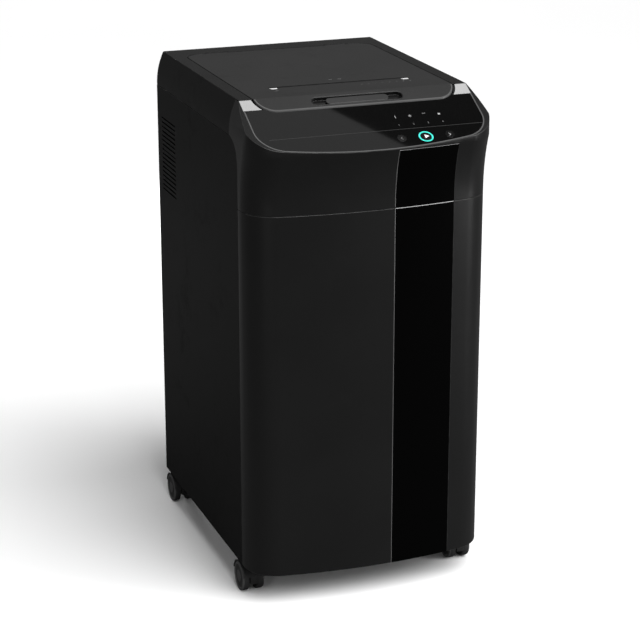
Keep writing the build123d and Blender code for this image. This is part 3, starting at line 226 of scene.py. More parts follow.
def grey(level, warm=0.0):
    return (level * (1 + warm), level, level * (1 - warm), 1.0)


def tone(colour, factor):
    return tuple(min(1.0, channel * factor) for channel in colour[:3]) + (1.0,)


# ---------------------------------------------------------------- finishes
def moulded_plastic(
    name, colour, rough, specular=0.3, grain=900.0, depth=0.05,
    dust=0.25, edge=0.5, edge_tone=5.0, cover=False,
):
    """Injection-moulded plastic with its mould grain, handling marks and paler corners, partly wear and
    partly a painted highlight.
    """
    material, tree, shader = start_finish(name)
    grained = place_effect(tree, grain_effect, Scale=grain)
    film = place_effect(tree, film_effect, Dust=dust)
    worn_and_highlit = place_effect(tree, rounding_effect if cover else edge_effect, Amount=edge)
    base = blend_colours(tree, grained.outputs["Tone"], tone(colour, 0.9), tone(colour, 1.12))
    # Edges made paler by the edge mask: partly wear, partly a painted highlight on the edges.
    paled = blend_colours(tree, worn_and_highlit.outputs["Mask"], base, tone(colour, edge_tone))
    dusty = blend_colours(tree, film.outputs["Dust"], paled, grey(0.16, 0.04))
    tree.links.new(dusty, shader.inputs["Base Color"])
    smudged = ramp(tree, film.outputs["Smudge"], 0.0, 1.0, rough, min(1.0, rough * 1.08 + 0.01))
    tree.links.new(smudged, shader.inputs["Roughness"])
    bump = add_node(tree, "ShaderNodeBump", Height=grained.outputs["Height"], Strength=depth, Distance=0.0002)
    tree.links.new(bump.outputs[0], shader.inputs["Normal"])
    shader.inputs["Specular IOR Level"].default_value = specular
    return material


def polished_plastic(
    name, colour, rough=0.04, specular=0.3, haze=0.05, edge=0.3, edge_tone=8.0, cover=False
):
    """High-gloss plastic with a finger film and hairline scratches."""
    material, tree, shader = start_finish(name)
    film = place_effect(tree, film_effect, Dust=0.08)
    worn_and_highlit = place_effect(tree, rounding_effect if cover else edge_effect, Amount=edge)
    # Edges made paler by the edge mask: partly wear, partly a painted highlight on the edges.
    paled = blend_colours(tree, worn_and_highlit.outputs["Mask"], colour, tone(colour, edge_tone))
    dusty = blend_colours(tree, film.outputs["Dust"], paled, grey(0.2, 0.03))
    tree.links.new(dusty, shader.inputs["Base Color"])
    smudged = ramp(tree, film.outputs["Smudge"], 0.0, 1.0, rough, rough + haze)
    scuffed = maths(tree, "ADD", smudged, maths(tree, "MULTIPLY", film.outputs["Scratch"], 0.04), True)
    tree.links.new(scuffed, shader.inputs["Roughness"])
    shader.inputs["Specular IOR Level"].default_value = specular
    return material


def bare_metal(name, colour, rough=0.3, depth=0.12, oil=0.0):
    """Worked steel or brass with drawing marks, stains and paler corners, partly wear and partly a painted
    highlight.
    """
    material, tree, shader = start_finish(name)
    drawn = place_effect(tree, metal_effect)
    worn_and_highlit = place_effect(tree, edge_effect, Amount=0.7)
    base = blend_colours(tree, drawn.outputs["Tone"], tone(colour, 0.72), tone(colour, 1.1))
    # Corners made paler by the edge mask: partly wear, partly a painted highlight.
    paled = blend_colours(tree, worn_and_highlit.outputs["Mask"], base, tone(colour, 1.5))
    tree.links.new(paled, shader.inputs["Base Color"])
    patchy = ramp(tree, drawn.outputs["Tone"], 0.0, 1.0, rough * 1.35, rough * 0.8)
    tree.links.new(patchy, shader.inputs["Roughness"])
    shader.inputs["Metallic"].default_value = 1.0
    if oil:
        shader.inputs["Coat Weight"].default_value = oil
        shader.inputs["Coat Roughness"].default_value = 0.12
    bump = add_node(tree, "ShaderNodeBump", Height=drawn.outputs["Height"], Strength=depth, Distance=0.0001)
    tree.links.new(bump.outputs[0], shader.inputs["Normal"])
    return material


def ribbed_rubber():
    """Matt rubber with a fine grain and paler patches of paper dust."""
    material, tree, shader = start_finish("roller rubber")
    grained = place_effect(tree, grain_effect, Scale=1500.0)
    film = place_effect(tree, film_effect, Dust=0.9)
    paled = blend_colours(tree, film.outputs["Smudge"], grey(0.022), grey(0.07, 0.02))
    tree.links.new(paled, shader.inputs["Base Color"])
    shader.inputs["Roughness"].default_value = 0.82
    bump = add_node(tree, "ShaderNodeBump", Height=grained.outputs["Height"], Strength=0.4, Distance=0.0003)
    tree.links.new(bump.outputs[0], shader.inputs["Normal"])
    return material


def circuit_board():
    """Solder-resist green with tracks, pads and a slight gloss."""
    material, tree, shader = start_finish("circuit board")
    where = place_coordinates(tree)
    pale = (1, 1, 1, 1)
    tracks = add_node(
        tree, "ShaderNodeTexBrick", Vector=where, Scale=55.0, Color1=pale, Color2=pale, Mortar=(0, 0, 0, 1)
    )
    tracks.inputs["Mortar Size"].default_value = 0.03
    cells = add_node(tree, "ShaderNodeTexVoronoi", Vector=where, Scale=260.0).outputs[0]
    pads = ramp(tree, cells, 0.12, 0.2)
    green = blend_colours(tree, tracks.outputs["Fac"], (0.012, 0.11, 0.045, 1), (0.03, 0.2, 0.08, 1))
    tree.links.new(blend_colours(tree, pads, (0.55, 0.56, 0.5, 1), green), shader.inputs["Base Color"])
    tree.links.new(ramp(tree, pads, 0.0, 1.0, 0.22, 0.38), shader.inputs["Roughness"])
    bump = add_node(tree, "ShaderNodeBump", Height=tracks.outputs["Fac"], Strength=0.3, Distance=0.0002)
    tree.links.new(bump.outputs[0], shader.inputs["Normal"])
    return material


def lit_ring():
    """Frosted light pipe with a patchy glow."""
    material, tree, shader = start_finish("lit ring")
    patches = ramp(tree, noise(tree, place_coordinates(tree), 160.0, 2.0), 0.3, 0.7)
    glow = blend_colours(tree, patches, (0.02, 0.46, 0.38, 1), (0.06, 0.72, 0.60, 1))
    tree.links.new(glow, shader.inputs["Emission Color"])
    tree.links.new(glow, shader.inputs["Base Color"])
    shader.inputs["Emission Strength"].default_value = 0.62
    tree.links.new(ramp(tree, patches, 0.0, 1.0, 0.3, 0.42), shader.inputs["Roughness"])
    return material


def printed_ink(name, level, glow=0.0):
    """Pad-printed ink with a slightly uneven lay."""
    material, tree, shader = start_finish(name)
    lay = ramp(tree, noise(tree, place_coordinates(tree), 900.0, 2.0), 0.25, 0.6)
    ink = blend_colours(tree, lay, grey(level * 0.82), grey(level))
    tree.links.new(ink, shader.inputs["Base Color"])
    tree.links.new(ramp(tree, lay, 0.0, 1.0, 0.6, 0.45), shader.inputs["Roughness"])
    if glow:
        tree.links.new(ink, shader.inputs["Emission Color"])
        shader.inputs["Emission Strength"].default_value = glow
    return material


# edge_tone sets how much paler the edge mask makes edges and roundings; its high values on the covers paint
# the highlight lines along their edges.
finishes = {
    "panel_plastic": moulded_plastic(
        "side panel satin", grey(0.0030), 0.46, 0.10, 1100.0, 0.12, edge_tone=24.0, cover=True
    ),
    "base_plastic": moulded_plastic("base matt", grey(0.012), 0.6, 0.3, 700.0, 0.3),
    "top_plastic": moulded_plastic(
        "top frame texture", grey(0.0012), 0.22, 0.10, 800.0, 0.05, edge_tone=30.0, cover=True
    ),
    "shoulder_plastic": moulded_plastic(
        "shoulder satin", grey(0.003), 0.40, 0.12, 1100.0, 0.08, edge_tone=24.0, cover=True
    ),
    "front_plastic": moulded_plastic(
        "front satin", grey(0.0055), 0.32, 0.35, 1200.0, 0.07, edge_tone=14.0, cover=True
    ),
    "inner_plastic": moulded_plastic("inner moulding", grey(0.03), 0.55, 0.3, 600.0, 0.25),
    "gloss_black": polished_plastic("strip gloss", grey(0.0006), 0.03, 0.06, cover=True),
    "console_gloss": polished_plastic(
        "console gloss", grey(0.0004), 0.03, 0.22, edge_tone=20.0, cover=True
    ),
    # Light grey bead trims along the lid and the console lip: a painted highlight, standing for the light
    # caught by those edges.
    "bead_grey": moulded_plastic(
        "bead satin grey", grey(0.085), 0.3, 0.5, 900.0, 0.05, edge=0.2, edge_tone=1.4
    ),
    # Pale grey corner trims: a painted reflection, standing for the bright patches at the bends of the lid
    # front's corners.
    "trim_silver": moulded_plastic(
        "corner trim silver", grey(0.40), 0.3, 0.5, 900.0, 0.0, edge=0.2, edge_tone=1.3, cover=True
    ),
    "ring_glow": lit_ring(),
    "key_gloss": polished_plastic("key gloss", grey(0.004), 0.08, 0.35),
    "lid_plastic": moulded_plastic(
        "lid satin", grey(0.013), 0.40, 0.55, 1000.0, 0.12, dust=0.35, edge_tone=3.0, cover=True
    ),
    "guide_plastic": moulded_plastic("guide satin", grey(0.012), 0.4, 0.35, 900.0, 0.15),
    "latch_bezel_plastic": moulded_plastic(
        "latch pocket satin", grey(0.008), 0.2, 0.35, 900.0, 0.04, cover=True
    ),
    "latch_plastic": moulded_plastic("latch bar satin", grey(0.028), 0.3, 0.4, 900.0, 0.06),
    "tray_plastic": moulded_plastic("tray satin", grey(0.05), 0.5, 0.3, 700.0, 0.2, dust=0.7),
    "nylon_grey": moulded_plastic("nylon", grey(0.55, 0.02), 0.42, 0.4, 500.0, 0.1, edge_tone=1.3),
    "roller_rubber": ribbed_rubber(),
    "tub_plastic": moulded_plastic("bin tub", grey(0.045), 0.5, 0.35, 600.0, 0.25, dust=0.8),
    "caster_plastic": moulded_plastic("caster hood", grey(0.02), 0.42, 0.4, 900.0, 0.15, edge_tone=4.0),
    "wheel_plastic": moulded_plastic("caster wheel", grey(0.028), 0.45, 0.4, 700.0, 0.2, edge_tone=4.0),
    "rocker_plastic": polished_plastic("rocker gloss", grey(0.006), 0.12, 0.4),
    "board_green": circuit_board(),
    "screw_steel": bare_metal("zinc screws", grey(0.26), 0.36),
    "pin_steel": bare_metal("ground pins", grey(0.6), 0.2),
    "spring_steel": bare_metal("spring wire", grey(0.5), 0.28),
    "deck_steel": moulded_plastic("coated deck", grey(0.05), 0.52, 0.4, 500.0, 0.3, dust=0.8),
    "plate_steel": bare_metal("zinc plate", (0.50, 0.50, 0.47, 1), 0.36, 0.2),
    "rod_steel": bare_metal("turned rod", grey(0.52), 0.24),
    "cutter_steel": bare_metal("hardened cutters", (0.40, 0.40, 0.42, 1), 0.26, 0.2, oil=0.5),
    "gear_steel": bare_metal("sintered gears", grey(0.42), 0.42, 0.3, oil=0.3),
    "motor_steel": moulded_plastic("motor can", grey(0.16), 0.35, 0.5, 600.0, 0.1, edge_tone=2.0),
    "bush_brass": bare_metal("sintered bush", (0.55, 0.36, 0.14, 1), 0.4, 0.3),
}
# Pale grey for the gloss strips' left and top roundings: a painted highlight along those edges.
strip_edge_highlight = moulded_plastic("strip edge", grey(0.5), 0.25, 0.5, 900.0, 0.03, edge=0.1, edge_tone=1.5)
dim_ink = printed_ink("dim marks", 0.14, 0.35)
rim_plastic = moulded_plastic("wheel rim", grey(0.09), 0.38, 0.4, 700.0, 0.15, edge_tone=2.0)
crease_shade = printed_ink("crease shade", 0.05)

slot_of = {part["node"]: part["material_slot"] for part in frame["record"]["subparts"]}
for node, part in frame["nodes"].items():
    for place in range(len(part.data.materials)):
        part.data.materials[place] = finishes[slot_of[node]]


# ---------------------------------------------------------------- making pieces
small_face = 12 * mm * mm
area_share = 1e6
weld = 0.002 * mm


def keep_piece(shape, name, body, slot, *materials):
    """Turns a finished shape into a piece that rides on a body."""
    mesh = bpy.data.meshes.new(name)
    shape.to_mesh(mesh)
    shape.free()
    for material in materials or (finishes[slot],):
        mesh.materials.append(material)
    piece = bpy.data.objects.new(name, mesh)
    bpy.context.scene.collection.objects.link(piece)
    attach(piece, body)
    return piece


def smooth_faces(shape, angle):
    """Smooth shading on curved faces, kept sharp across edges steeper than angle."""
    gentle = math.radians(0.25)
    for edge in shape.edges:
        edge.smooth = edge.is_manifold and edge.calc_face_angle(0.0) < angle
    for face in shape.faces:
        bends = (edge.calc_face_angle(0.0) for edge in face.edges if edge.is_manifold)
        curved = any(gentle < bend < math.radians(12) for bend in bends)
        face.smooth = curved or face.calc_area() < small_face


def curved_faces(shape):
    """The faces that belong to a gently curved surface of the cover."""
    chosen = set()
    for face in shape.faces:
        for edge in face.edges:
            if edge.is_manifold and math.radians(0.25) < edge.calc_face_angle(0.0) < math.radians(16):
                chosen.add(face)
    return chosen


def corner_sum(corner, chosen, limit, by_area=True):
    """The chosen faces' normals round a corner, within limit of its own, added by angle and area."""
    total = Vector()
    for other in corner.vert.link_loops:
        if chosen(other.face) and other.face.normal.dot(corner.face.normal) > limit:
            area = other.face.calc_area() * area_share if by_area else 1
            total += other.face.normal * other.calc_angle() * area
    return total


def corner_normals(shape, flat, curved):
    """A normal for each face corner: roundings run from one cover face to the next without a step."""
    near = math.cos(math.radians(22))
    facing = math.cos(math.radians(62))
    shortest = 0.0001
    normals = []
    for face in shape.faces:
        for corner in face.loops:
            total = face.normal.copy()
            if face in curved:
                total = corner_sum(corner, lambda other: other in curved, near)
            elif face not in flat:
                total = corner_sum(corner, lambda other: other in flat or other in curved, facing)
                if total.length < shortest:
                    total = corner_sum(corner, lambda other: True, facing, False)
            normals.append(total.normalized() if total.length > shortest else face.normal.copy())
    return normals


def rounded_copy(node, width, body, name, bright=None):
    """A cover's CAD shape with its sharp edges rounded, standing for it."""
    shape = bmesh.new()
    shape.from_mesh(frame["nodes"][node].data)
    bmesh.ops.remove_doubles(shape, verts=shape.verts, dist=weld)
    bmesh.ops.dissolve_limit(
        shape, angle_limit=math.radians(0.01), verts=shape.verts, edges=shape.edges,
        use_dissolve_boundaries=False,
    )
    first_face = shape.faces.layers.int.new("first face")
    bends = shape.faces.layers.int.new("bends")
    rounding = shape.faces.layers.float.new("rounding")
    shape.faces.ensure_lookup_table()
    curved = curved_faces(shape)
    first_normals = []
    for index, face in enumerate(shape.faces):
        face[first_face] = index
        face[bends] = int(face in curved)
        first_normals.append(face.normal.copy())
    sharp = [e for e in shape.edges if e.is_manifold and e.calc_face_angle(0.0) > math.radians(32)]
    bmesh.ops.bevel(
        shape, geom=sharp, offset=width, offset_type="OFFSET", segments=3, profile=0.5,
        affect="EDGES", clamp_overlap=False, material=-1, loop_slide=False,
    )
    shape.normal_update()
    kept = math.cos(math.radians(2))
    covers = [face for face in shape.faces if face.normal.dot(first_normals[face[first_face]]) > kept]
    curved = {face for face in covers if face[bends]}
    flat = {face for face in covers if not face[bends]}
    materials = [finishes[slot_of[node]]]
    # The faces that bright picks get the pale strip-edge colour, a painted highlight.
    if bright:
        materials.append(strip_edge_highlight)
    for face in shape.faces:
        face[rounding] = float(face not in flat and face not in curved)
        face.smooth = face not in flat
        if bright:
            face.material_index = int(bright(face.calc_center_median(), face.normal))
    normals = corner_normals(shape, flat, curved)
    for layer in (bends, first_face):
        shape.faces.layers.int.remove(layer)
    piece = keep_piece(shape, name, body, slot_of[node], *materials)
    piece.data.normals_split_custom_set(normals)
    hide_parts(node)
    return piece


# ---------------------------------------------------------------- covers with rounded edges
def on_strip_edge(low, high):
    """Picks the rounded left edge and the top edge of a gloss strip, which get the painted highlight."""

    def chosen(centre, normal):
        left = centre.x < low.x + 1.6 * mm and normal.x < -0.25 and normal.y < -0.05
        top = centre.z > high.z - 1.6 * mm and normal.z > 0.25 and normal.y < -0.05
        return left or top

    return chosen


cover_rounding = {
    "side_panel_left": 0.7 * mm,
    "side_panel_right": 0.7 * mm,
    "shoulder_left": 0.6 * mm,
    "shoulder_right": 0.6 * mm,
    "front_housing": 0.6 * mm,
    "top_frame": 0.8 * mm,
    "lid_shell": 0.6 * mm,
    "console_fascia": 0.25 * mm,
    "corner_trims": 0.3 * mm,
    "latch_bezel": 0.5 * mm,
}
bodies = frame["record"]["behaviour"]["bodies"]
body_of_node = {node: body for body, nodes in bodies.items() for node in nodes}

for node, width in cover_rounding.items():
    rounded_copy(node, width, body_of_node[node], node + "_cover")
rounded_copy("bin_front", 0.7 * mm, "bin", "bin_front_cover")
rounded_copy("bin_strip", 0.6 * mm, "bin", "bin_strip_cover", on_strip_edge(*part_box("bin_strip")))
rounded_copy("upper_strip", 0.6 * mm, "cabinet", "upper_strip_cover", on_strip_edge(strip_low, strip_high))


# ---------------------------------------------------------------- plate springs as one piece with a mesh of its own
springs = bmesh.new()
springs.from_mesh(frame["nodes"]["plate_springs"].data)
bmesh.ops.remove_doubles(springs, verts=springs.verts, dist=weld)
smooth_faces(springs, math.radians(40))
spring_body = body_of_node["plate_springs"]
spring_set = keep_piece(springs, "plate_spring_set", spring_body, slot_of["plate_springs"])
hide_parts("plate_springs")
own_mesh(spring_set)


# ---------------------------------------------------------------- caster wheels
def wheel_shape(side, centre, radius, width, gap):
    """One wheel of a pair: rounded tyre, raised rim and a dished hub, spun about the axle."""
    section = (
        (0.0, 0.0),
        (radius - 2.4 * mm, 0.0),
        (radius - 0.6 * mm, 0.7 * mm),
        (radius, 2.3 * mm),
        (radius, width - 2.3 * mm),
        (radius - 0.6 * mm, width - 0.7 * mm),
        (radius - 2.4 * mm, width),
        (radius - 4.4 * mm, width),
        (radius - 5.2 * mm, width - 1.3 * mm),
        (11.0 * mm, width - 1.5 * mm),
        (10.2 * mm, width - 0.4 * mm),
        (4.0 * mm, width - 0.1 * mm),
        (0.0, width),
    )
    shape = bmesh.new()
    points = [shape.verts.new((side * (gap + along), 0, away)) for away, along in section]
    edges = [shape.edges.new(pair) for pair in zip(points, points[1:])]
    bmesh.ops.spin(
        shape, geom=points + edges, cent=(0, 0, 0), axis=(1, 0, 0), angle=2 * math.pi, steps=64,
        use_merge=True,
    )
    bmesh.ops.remove_doubles(shape, verts=shape.verts, dist=0.01 * mm)
    bmesh.ops.recalc_face_normals(shape, faces=shape.faces)
    rim_inner = radius - 5.3 * mm
    for face in shape.faces:
        middle = face.calc_center_median()
        away = math.hypot(middle.y, middle.z)
        outer = abs(middle.x) > gap + width - 1.6 * mm
        face.material_index = int(outer and (away > rim_inner or away < 10.5 * mm))
    bmesh.ops.translate(shape, verts=shape.verts, vec=centre)
    return shape


def merge_shapes(shapes):
    """Several shapes as one."""
    whole = bmesh.new()
    for shape in shapes:
        loose = bpy.data.meshes.new("loose")
        shape.to_mesh(loose)
        shape.free()
        whole.from_mesh(loose)
        bpy.data.meshes.remove(loose)
    return whole


axle_radius = 3 * mm
for place in caster_places:
    node = f"caster_{place}_wheels"
    low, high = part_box(node)
    centre = (low + high) / 2
    gap = 6.4 * mm
    width = (high.x - low.x) / 2 - gap
    radius = (high.z - low.z) / 2
    axle = bmesh.new()
    bmesh.ops.create_cone(
        axle, cap_ends=True, segments=24, radius1=axle_radius, radius2=axle_radius, depth=2 * gap + mm
    )
    bmesh.ops.rotate(axle, verts=axle.verts, matrix=Matrix.Rotation(math.pi / 2, 3, "Y"))
    bmesh.ops.translate(axle, verts=axle.verts, vec=centre)
    pair = merge_shapes([wheel_shape(side, centre, radius, width, gap) for side in (-1, 1)] + [axle])
    smooth_faces(pair, math.radians(38))
    tyre = finishes["wheel_plastic"]
    wheels = keep_piece(pair, node + "_pair", "wheels_" + place, "wheel_plastic", tyre, rim_plastic)
    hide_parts(node)


# ---------------------------------------------------------------- printed and inlaid marks
mark_sink = 0.02 * mm
mark_rise = 0.07 * mm


def raise_mark(flat, place):
    """Gives a flat mark its small thickness and puts it in its place."""
    bmesh.ops.recalc_face_normals(flat, faces=flat.faces)
    if flat.faces and flat.faces[:][0].normal.z < 0:
        bmesh.ops.reverse_faces(flat, faces=flat.faces)
    faces = list(flat.faces)
    raised = bmesh.ops.extrude_face_region(flat, geom=faces)
    top = [item for item in raised["geom"] if isinstance(item, bmesh.types.BMVert)]
    bmesh.ops.translate(flat, verts=flat.verts, vec=(0, 0, -mark_sink))
    bmesh.ops.translate(flat, verts=top, vec=(0, 0, mark_sink + mark_rise))
    bmesh.ops.recalc_face_normals(flat, faces=flat.faces)
    bmesh.ops.transform(flat, matrix=place, verts=flat.verts)
    return flat


def polygon_mark(x, y, radius, sides, turn, place, stretch=1.0):
    flat = bmesh.new()
    bmesh.ops.create_circle(flat, cap_ends=True, segments=sides, radius=radius)
    bmesh.ops.rotate(flat, verts=flat.verts, matrix=Matrix.Rotation(turn, 3, "Z"))
    bmesh.ops.scale(flat, verts=flat.verts, vec=(stretch, 1, 1))
    bmesh.ops.translate(flat, verts=flat.verts, vec=(x, y, 0))
    return raise_mark(flat, place)


def ring_mark(x, y, radius, line, place, sides=40, turn=0.0, stretch=1.0):
    flat = bmesh.new()
    bmesh.ops.create_circle(flat, cap_ends=True, segments=sides, radius=radius)
    bmesh.ops.rotate(flat, verts=flat.verts, matrix=Matrix.Rotation(turn, 3, "Z"))
    bmesh.ops.scale(flat, verts=flat.verts, vec=(stretch, 1, 1))
    inner = list(flat.faces)
    bmesh.ops.inset_region(flat, faces=inner, thickness=line, use_even_offset=True)
    bmesh.ops.delete(flat, geom=inner, context="FACES")
    bmesh.ops.translate(flat, verts=flat.verts, vec=(x, y, 0))
    return raise_mark(flat, place)


def line_mark(x, y, length, line, turn, place):
    flat = bmesh.new()
    bmesh.ops.create_grid(flat, x_segments=1, y_segments=1, size=0.5)
    bmesh.ops.scale(flat, verts=flat.verts, vec=(length, line, 1))
    bmesh.ops.rotate(flat, verts=flat.verts, matrix=Matrix.Rotation(turn, 3, "Z"))
    bmesh.ops.translate(flat, verts=flat.verts, vec=(x, y, 0))
    return raise_mark(flat, place)


def numeral_mark(text, x, y, size, place):
    """A numeral as a thin raised mesh."""
    words = bpy.data.curves.new("numeral", "FONT")
    words.body = text
    words.size = size
    words.align_x = "CENTER"
    words.align_y = "CENTER"
    words.resolution_u = 6
    holder = bpy.data.objects.new("numeral", words)
    bpy.context.scene.collection.objects.link(holder)
    flat_mesh = bpy.data.meshes.new_from_object(holder)
    bpy.data.objects.remove(holder)
    flat = bmesh.new()
    flat.from_mesh(flat_mesh)
    bpy.data.meshes.remove(flat_mesh)
    bmesh.ops.remove_doubles(flat, verts=flat.verts, dist=0.001 * mm)
    bmesh.ops.translate(flat, verts=flat.verts, vec=(x, y, 0))
    return raise_mark(flat, place)


def chevron(x, y, size, direction, place):
    turn = math.radians(45) * direction
    half = size / 2
    shift = half * math.sin(math.radians(45)) * 0.9
    return [
        line_mark(x, y + shift, size, size * 0.16, -turn, place),
        line_mark(x, y - shift, size, size * 0.16, turn, place),
    ]


lamp_row = -69 * mm
number_row = -88.5 * mm
number_pitch = 25 * mm
first_number_x = key_x - 34.5 * mm
chevron_size = 4.4 * mm
key_rise = 0.4 * mm
console_marks = []
for count in range(4):
    x = first_number_x + count * number_pitch
    console_marks.append(ring_mark(x, number_row, 4.0 * mm, 0.45 * mm, console_place))
    console_marks.append(numeral_mark(str(count + 1), x, number_row, 5.2 * mm, console_place))
keep_piece(merge_shapes(console_marks), "level_numerals", "cabinet", "bead_grey", dim_ink)

lamp_x = [first_number_x + count * number_pitch for count in range(4)]
lamp_marks = [
    line_mark(lamp_x[0], lamp_row, 6 * mm, 0.8 * mm, math.pi / 2, console_place),
    *(
        line_mark(lamp_x[1], lamp_row, 5.6 * mm, 0.6 * mm, math.radians(turn), console_place)
        for turn in (30, 90, 150)
    ),
    ring_mark(lamp_x[2], lamp_row, 3.2 * mm, 0.6 * mm, console_place, 4, math.pi / 4),
    line_mark(lamp_x[2], lamp_row + 3.4 * mm, 5.6 * mm, 0.6 * mm, 0, console_place),
    polygon_mark(lamp_x[3], lamp_row - 0.8 * mm, 2.6 * mm, 4, math.pi / 4, console_place),
    ring_mark(lamp_x[3], lamp_row + 1.6 * mm, 1.7 * mm, 0.5 * mm, console_place, 20),
]
status_ink = printed_ink("status marks", 0.30, 0.5)
keep_piece(merge_shapes(lamp_marks), "status_marks", "cabinet", "bead_grey", status_ink)

key_face = console_place @ Matrix.Translation((0, 0, key_rise))
triangle = [polygon_mark(key_x + 0.6 * mm, key_row, 4.6 * mm, 3, -math.pi / 2, key_face)]
triangle_ink = printed_ink("lit triangle", 0.9, 0.6)
keep_piece(merge_shapes(triangle), "power_key_mark", "power_key", "bead_grey", triangle_ink)
forward_ink = printed_ink("forward mark", 0.5, 0.1)
for name, side, ink in (("reverse_key", -1, dim_ink), ("forward_key", 1, forward_ink)):
    strokes = chevron(key_x + side * key_spread, key_row, chevron_size, side, key_face)
    keep_piece(merge_shapes(strokes), name + "_mark", name, "bead_grey", ink)

fascia_low, fascia_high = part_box("console_fascia")
crease_row = -98.7 * mm
crease_left = fascia_low.x + 19 * mm
crease_right = fascia_high.x - 3 * mm
crease = line_mark(
    (crease_left + crease_right) / 2, crease_row, crease_right - crease_left, 0.5 * mm, 0, console_place
)
keep_piece(crease, "console_crease", "cabinet", "console_gloss", crease_shade)

# ---------------------------------------------------------------- marks on the lid and painted reflections at the slot ends
lid_top = Matrix.Translation((0, 0, top_z))
paper_row = slot_y - 25 * mm
paper_pitch = 12.2 * mm
first_paper_x = slot_high.x - 101 * mm
rear_row = slot_y + 27 * mm
slot_mark = (slot_low.x + 6 * mm, slot_y - 24 * mm)
reflection_size = (13 * mm, 8 * mm)
reflection_setback = 8.5 * mm
reflection_inset = 6 * mm
reflection_taper = 0.7
marks = []
for count in range(9):
    x = first_paper_x + count * paper_pitch
    y = paper_row
    if count % 2:
        marks.append(ring_mark(x, y, 2.4 * mm, 0.6 * mm, lid_top, 20))
        marks.append(line_mark(x, y, 4.4 * mm, 0.5 * mm, math.pi / 4, lid_top))
    else:
        marks.append(ring_mark(x, y, 3.0 * mm, 0.6 * mm, lid_top, 4, math.pi / 4, 1.3))
        marks.append(line_mark(x, y, 2.4 * mm, 0.5 * mm, 0, lid_top))
for x in (-4 * mm, 12 * mm):
    marks.append(ring_mark(x, rear_row, 3.4 * mm, 0.7 * mm, lid_top, 4, math.pi / 4, 1.5))
    marks.append(line_mark(x, rear_row, 6 * mm, 0.7 * mm, 0, lid_top))
marks.append(ring_mark(*slot_mark, 3.2 * mm, 0.8 * mm, lid_top, 4, math.pi / 4, 1.4))
marks.append(line_mark(*slot_mark, 6 * mm, 0.6 * mm, 0.3, lid_top))
keep_piece(merge_shapes(marks), "paper_marks", "lid", "bead_grey", printed_ink("lid marks", 0.35))

# White wedges at both ends of the slot: a painted reflection, standing for the light caught by the flared
# slot ends.
slot_end_reflections = []
for side in (-1, 1):
    x = side * (slot_high.x - reflection_inset)
    flat = bmesh.new()
    bmesh.ops.create_grid(flat, x_segments=1, y_segments=1, size=0.5)
    bmesh.ops.scale(flat, verts=flat.verts, vec=(*reflection_size, 1))
    for vert in flat.verts:
        if vert.co.y < 0:
            vert.co.x *= reflection_taper
    bmesh.ops.translate(flat, verts=flat.verts, vec=(x, slot_y - reflection_setback, 0))
    slot_end_reflections.append(raise_mark(flat, lid_top))
slot_end_reflection_ink = printed_ink("slot end white", 0.85)
keep_piece(merge_shapes(slot_end_reflections), "slot_end_reflection_marks", "lid", "trim_silver", slot_end_reflection_ink)

# ---------------------------------------------------------------- mark on the latch bar
bar_middle = -17.1 * mm
bar_depth = 1.0 * mm
bar_face = console_place @ Matrix.Translation((0, bar_middle, -bar_depth))
latch_mark = [
    ring_mark(0, 0, 2.2 * mm, 0.5 * mm, bar_face, 24),
    line_mark(0, 0, 2.0 * mm, 0.4 * mm, math.pi / 2, bar_face),
]
keep_piece(merge_shapes(latch_mark), "latch_mark", "latch", "bead_grey", dim_ink)


# ---------------------------------------------------------------- floor, light and camera
def pale_floor():
    shape = bmesh.new()
    bmesh.ops.create_grid(shape, x_segments=1, y_segments=1, size=30)
    mesh = bpy.data.meshes.new("floor")
    shape.to_mesh(mesh)
    shape.free()
    floor = bpy.data.objects.new("floor", mesh)
    bpy.context.scene.collection.objects.link(floor)
    material, tree, shader = start_finish("floor paper")
    patches = ramp(tree, noise(tree, place_coordinates(tree), 0.8, 3.0), 0.3, 0.7)
    paper = blend_colours(tree, patches, grey(0.95), grey(0.975))
    seen = add_node(tree, "ShaderNodeLightPath").outputs["Is Camera Ray"]
    tree.links.new(blend_colours(tree, seen, grey(0.13), paper), shader.inputs["Base Color"])
    shader.inputs["Roughness"].default_value = 0.9
    shader.inputs["Specular IOR Level"].default_value = 0.1
    mesh.materials.append(material)


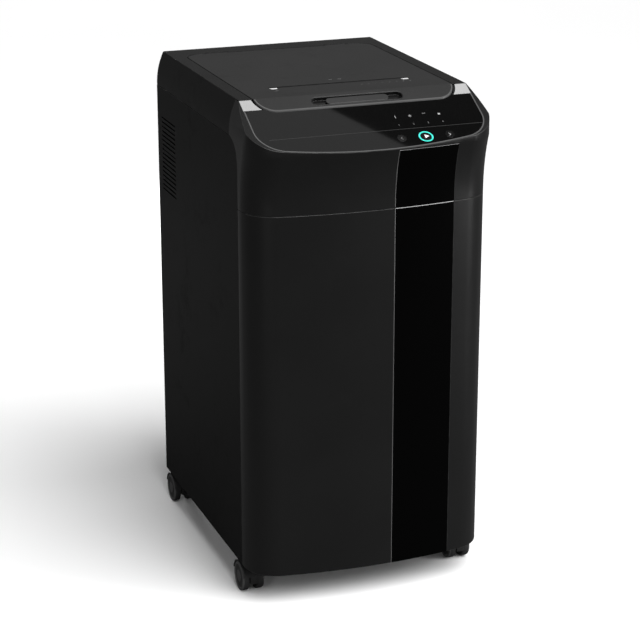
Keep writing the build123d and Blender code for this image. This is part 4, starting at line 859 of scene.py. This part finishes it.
def soft_box(name, place, aim, width, height, power, turn=0.0):
    """A rectangular soft light at a place, turned towards aim and then about the vertical."""
    light = bpy.data.lights.new(name, "AREA")
    light.shape = "RECTANGLE"
    light.size = width
    light.size_y = height
    light.energy = power
    holder = bpy.data.objects.new(name, light)
    bpy.context.scene.collection.objects.link(holder)
    direction = Vector(aim) - Vector(place)
    holder.rotation_mode = "QUATERNION"
    holder.rotation_quaternion = Quaternion((0, 0, 1), turn) @ direction.to_track_quat("-Z", "Y")
    holder.location = place
    return holder


def studio_sky():
    world = bpy.data.worlds.new("studio")
    bpy.context.scene.world = world
    world.use_nodes = True
    tree = world.node_tree
    background = tree.nodes["Background"]
    seen = add_node(tree, "ShaderNodeLightPath").outputs["Is Camera Ray"]
    tree.links.new(blend_colours(tree, seen, grey(0.15), grey(0.95)), background.inputs["Color"])
    background.inputs["Strength"].default_value = 1.0


pale_floor()
studio_sky()
sun_data = bpy.data.lights.new("wide sun", "SUN")
sun_data.energy = 3.5
sun_data.angle = math.radians(50)
sun = bpy.data.objects.new("wide sun", sun_data)
bpy.context.scene.collection.objects.link(sun)
sun.rotation_euler = (math.radians(36), 0, math.radians(22))
soft_box("left key", (-1.9, -2.3, 1.5), (-0.1, -0.2, 0.4), 0.5, 2.0, 14)
soft_box("right fill", (2.4, -1.9, 1.1), (0.1, -0.2, 0.4), 0.9, 2.0, 42)
soft_box("rear fill", (0, 2.6, 0.42), (0, 0.27, 0.42), 0.4, 0.7, 16)
soft_box("console glow", (0.555, 0.165, 2.5), (0.555, 0.165, 0), 0.6, 0.5, 0.8, math.radians(-33))

camera_data = bpy.data.cameras.new("camera")
camera_data.sensor_width = 36
camera_data.lens = 117.0
camera = bpy.data.objects.new("camera", camera_data)
bpy.context.scene.collection.objects.link(camera)
camera.location = (-1.180, -3.196, 1.5455)
camera.rotation_euler = (math.radians(90 - 18.49), 0, math.radians(-20.21))
bpy.context.scene.camera = camera

scene = bpy.context.scene
scene.view_settings.view_transform = "Standard"
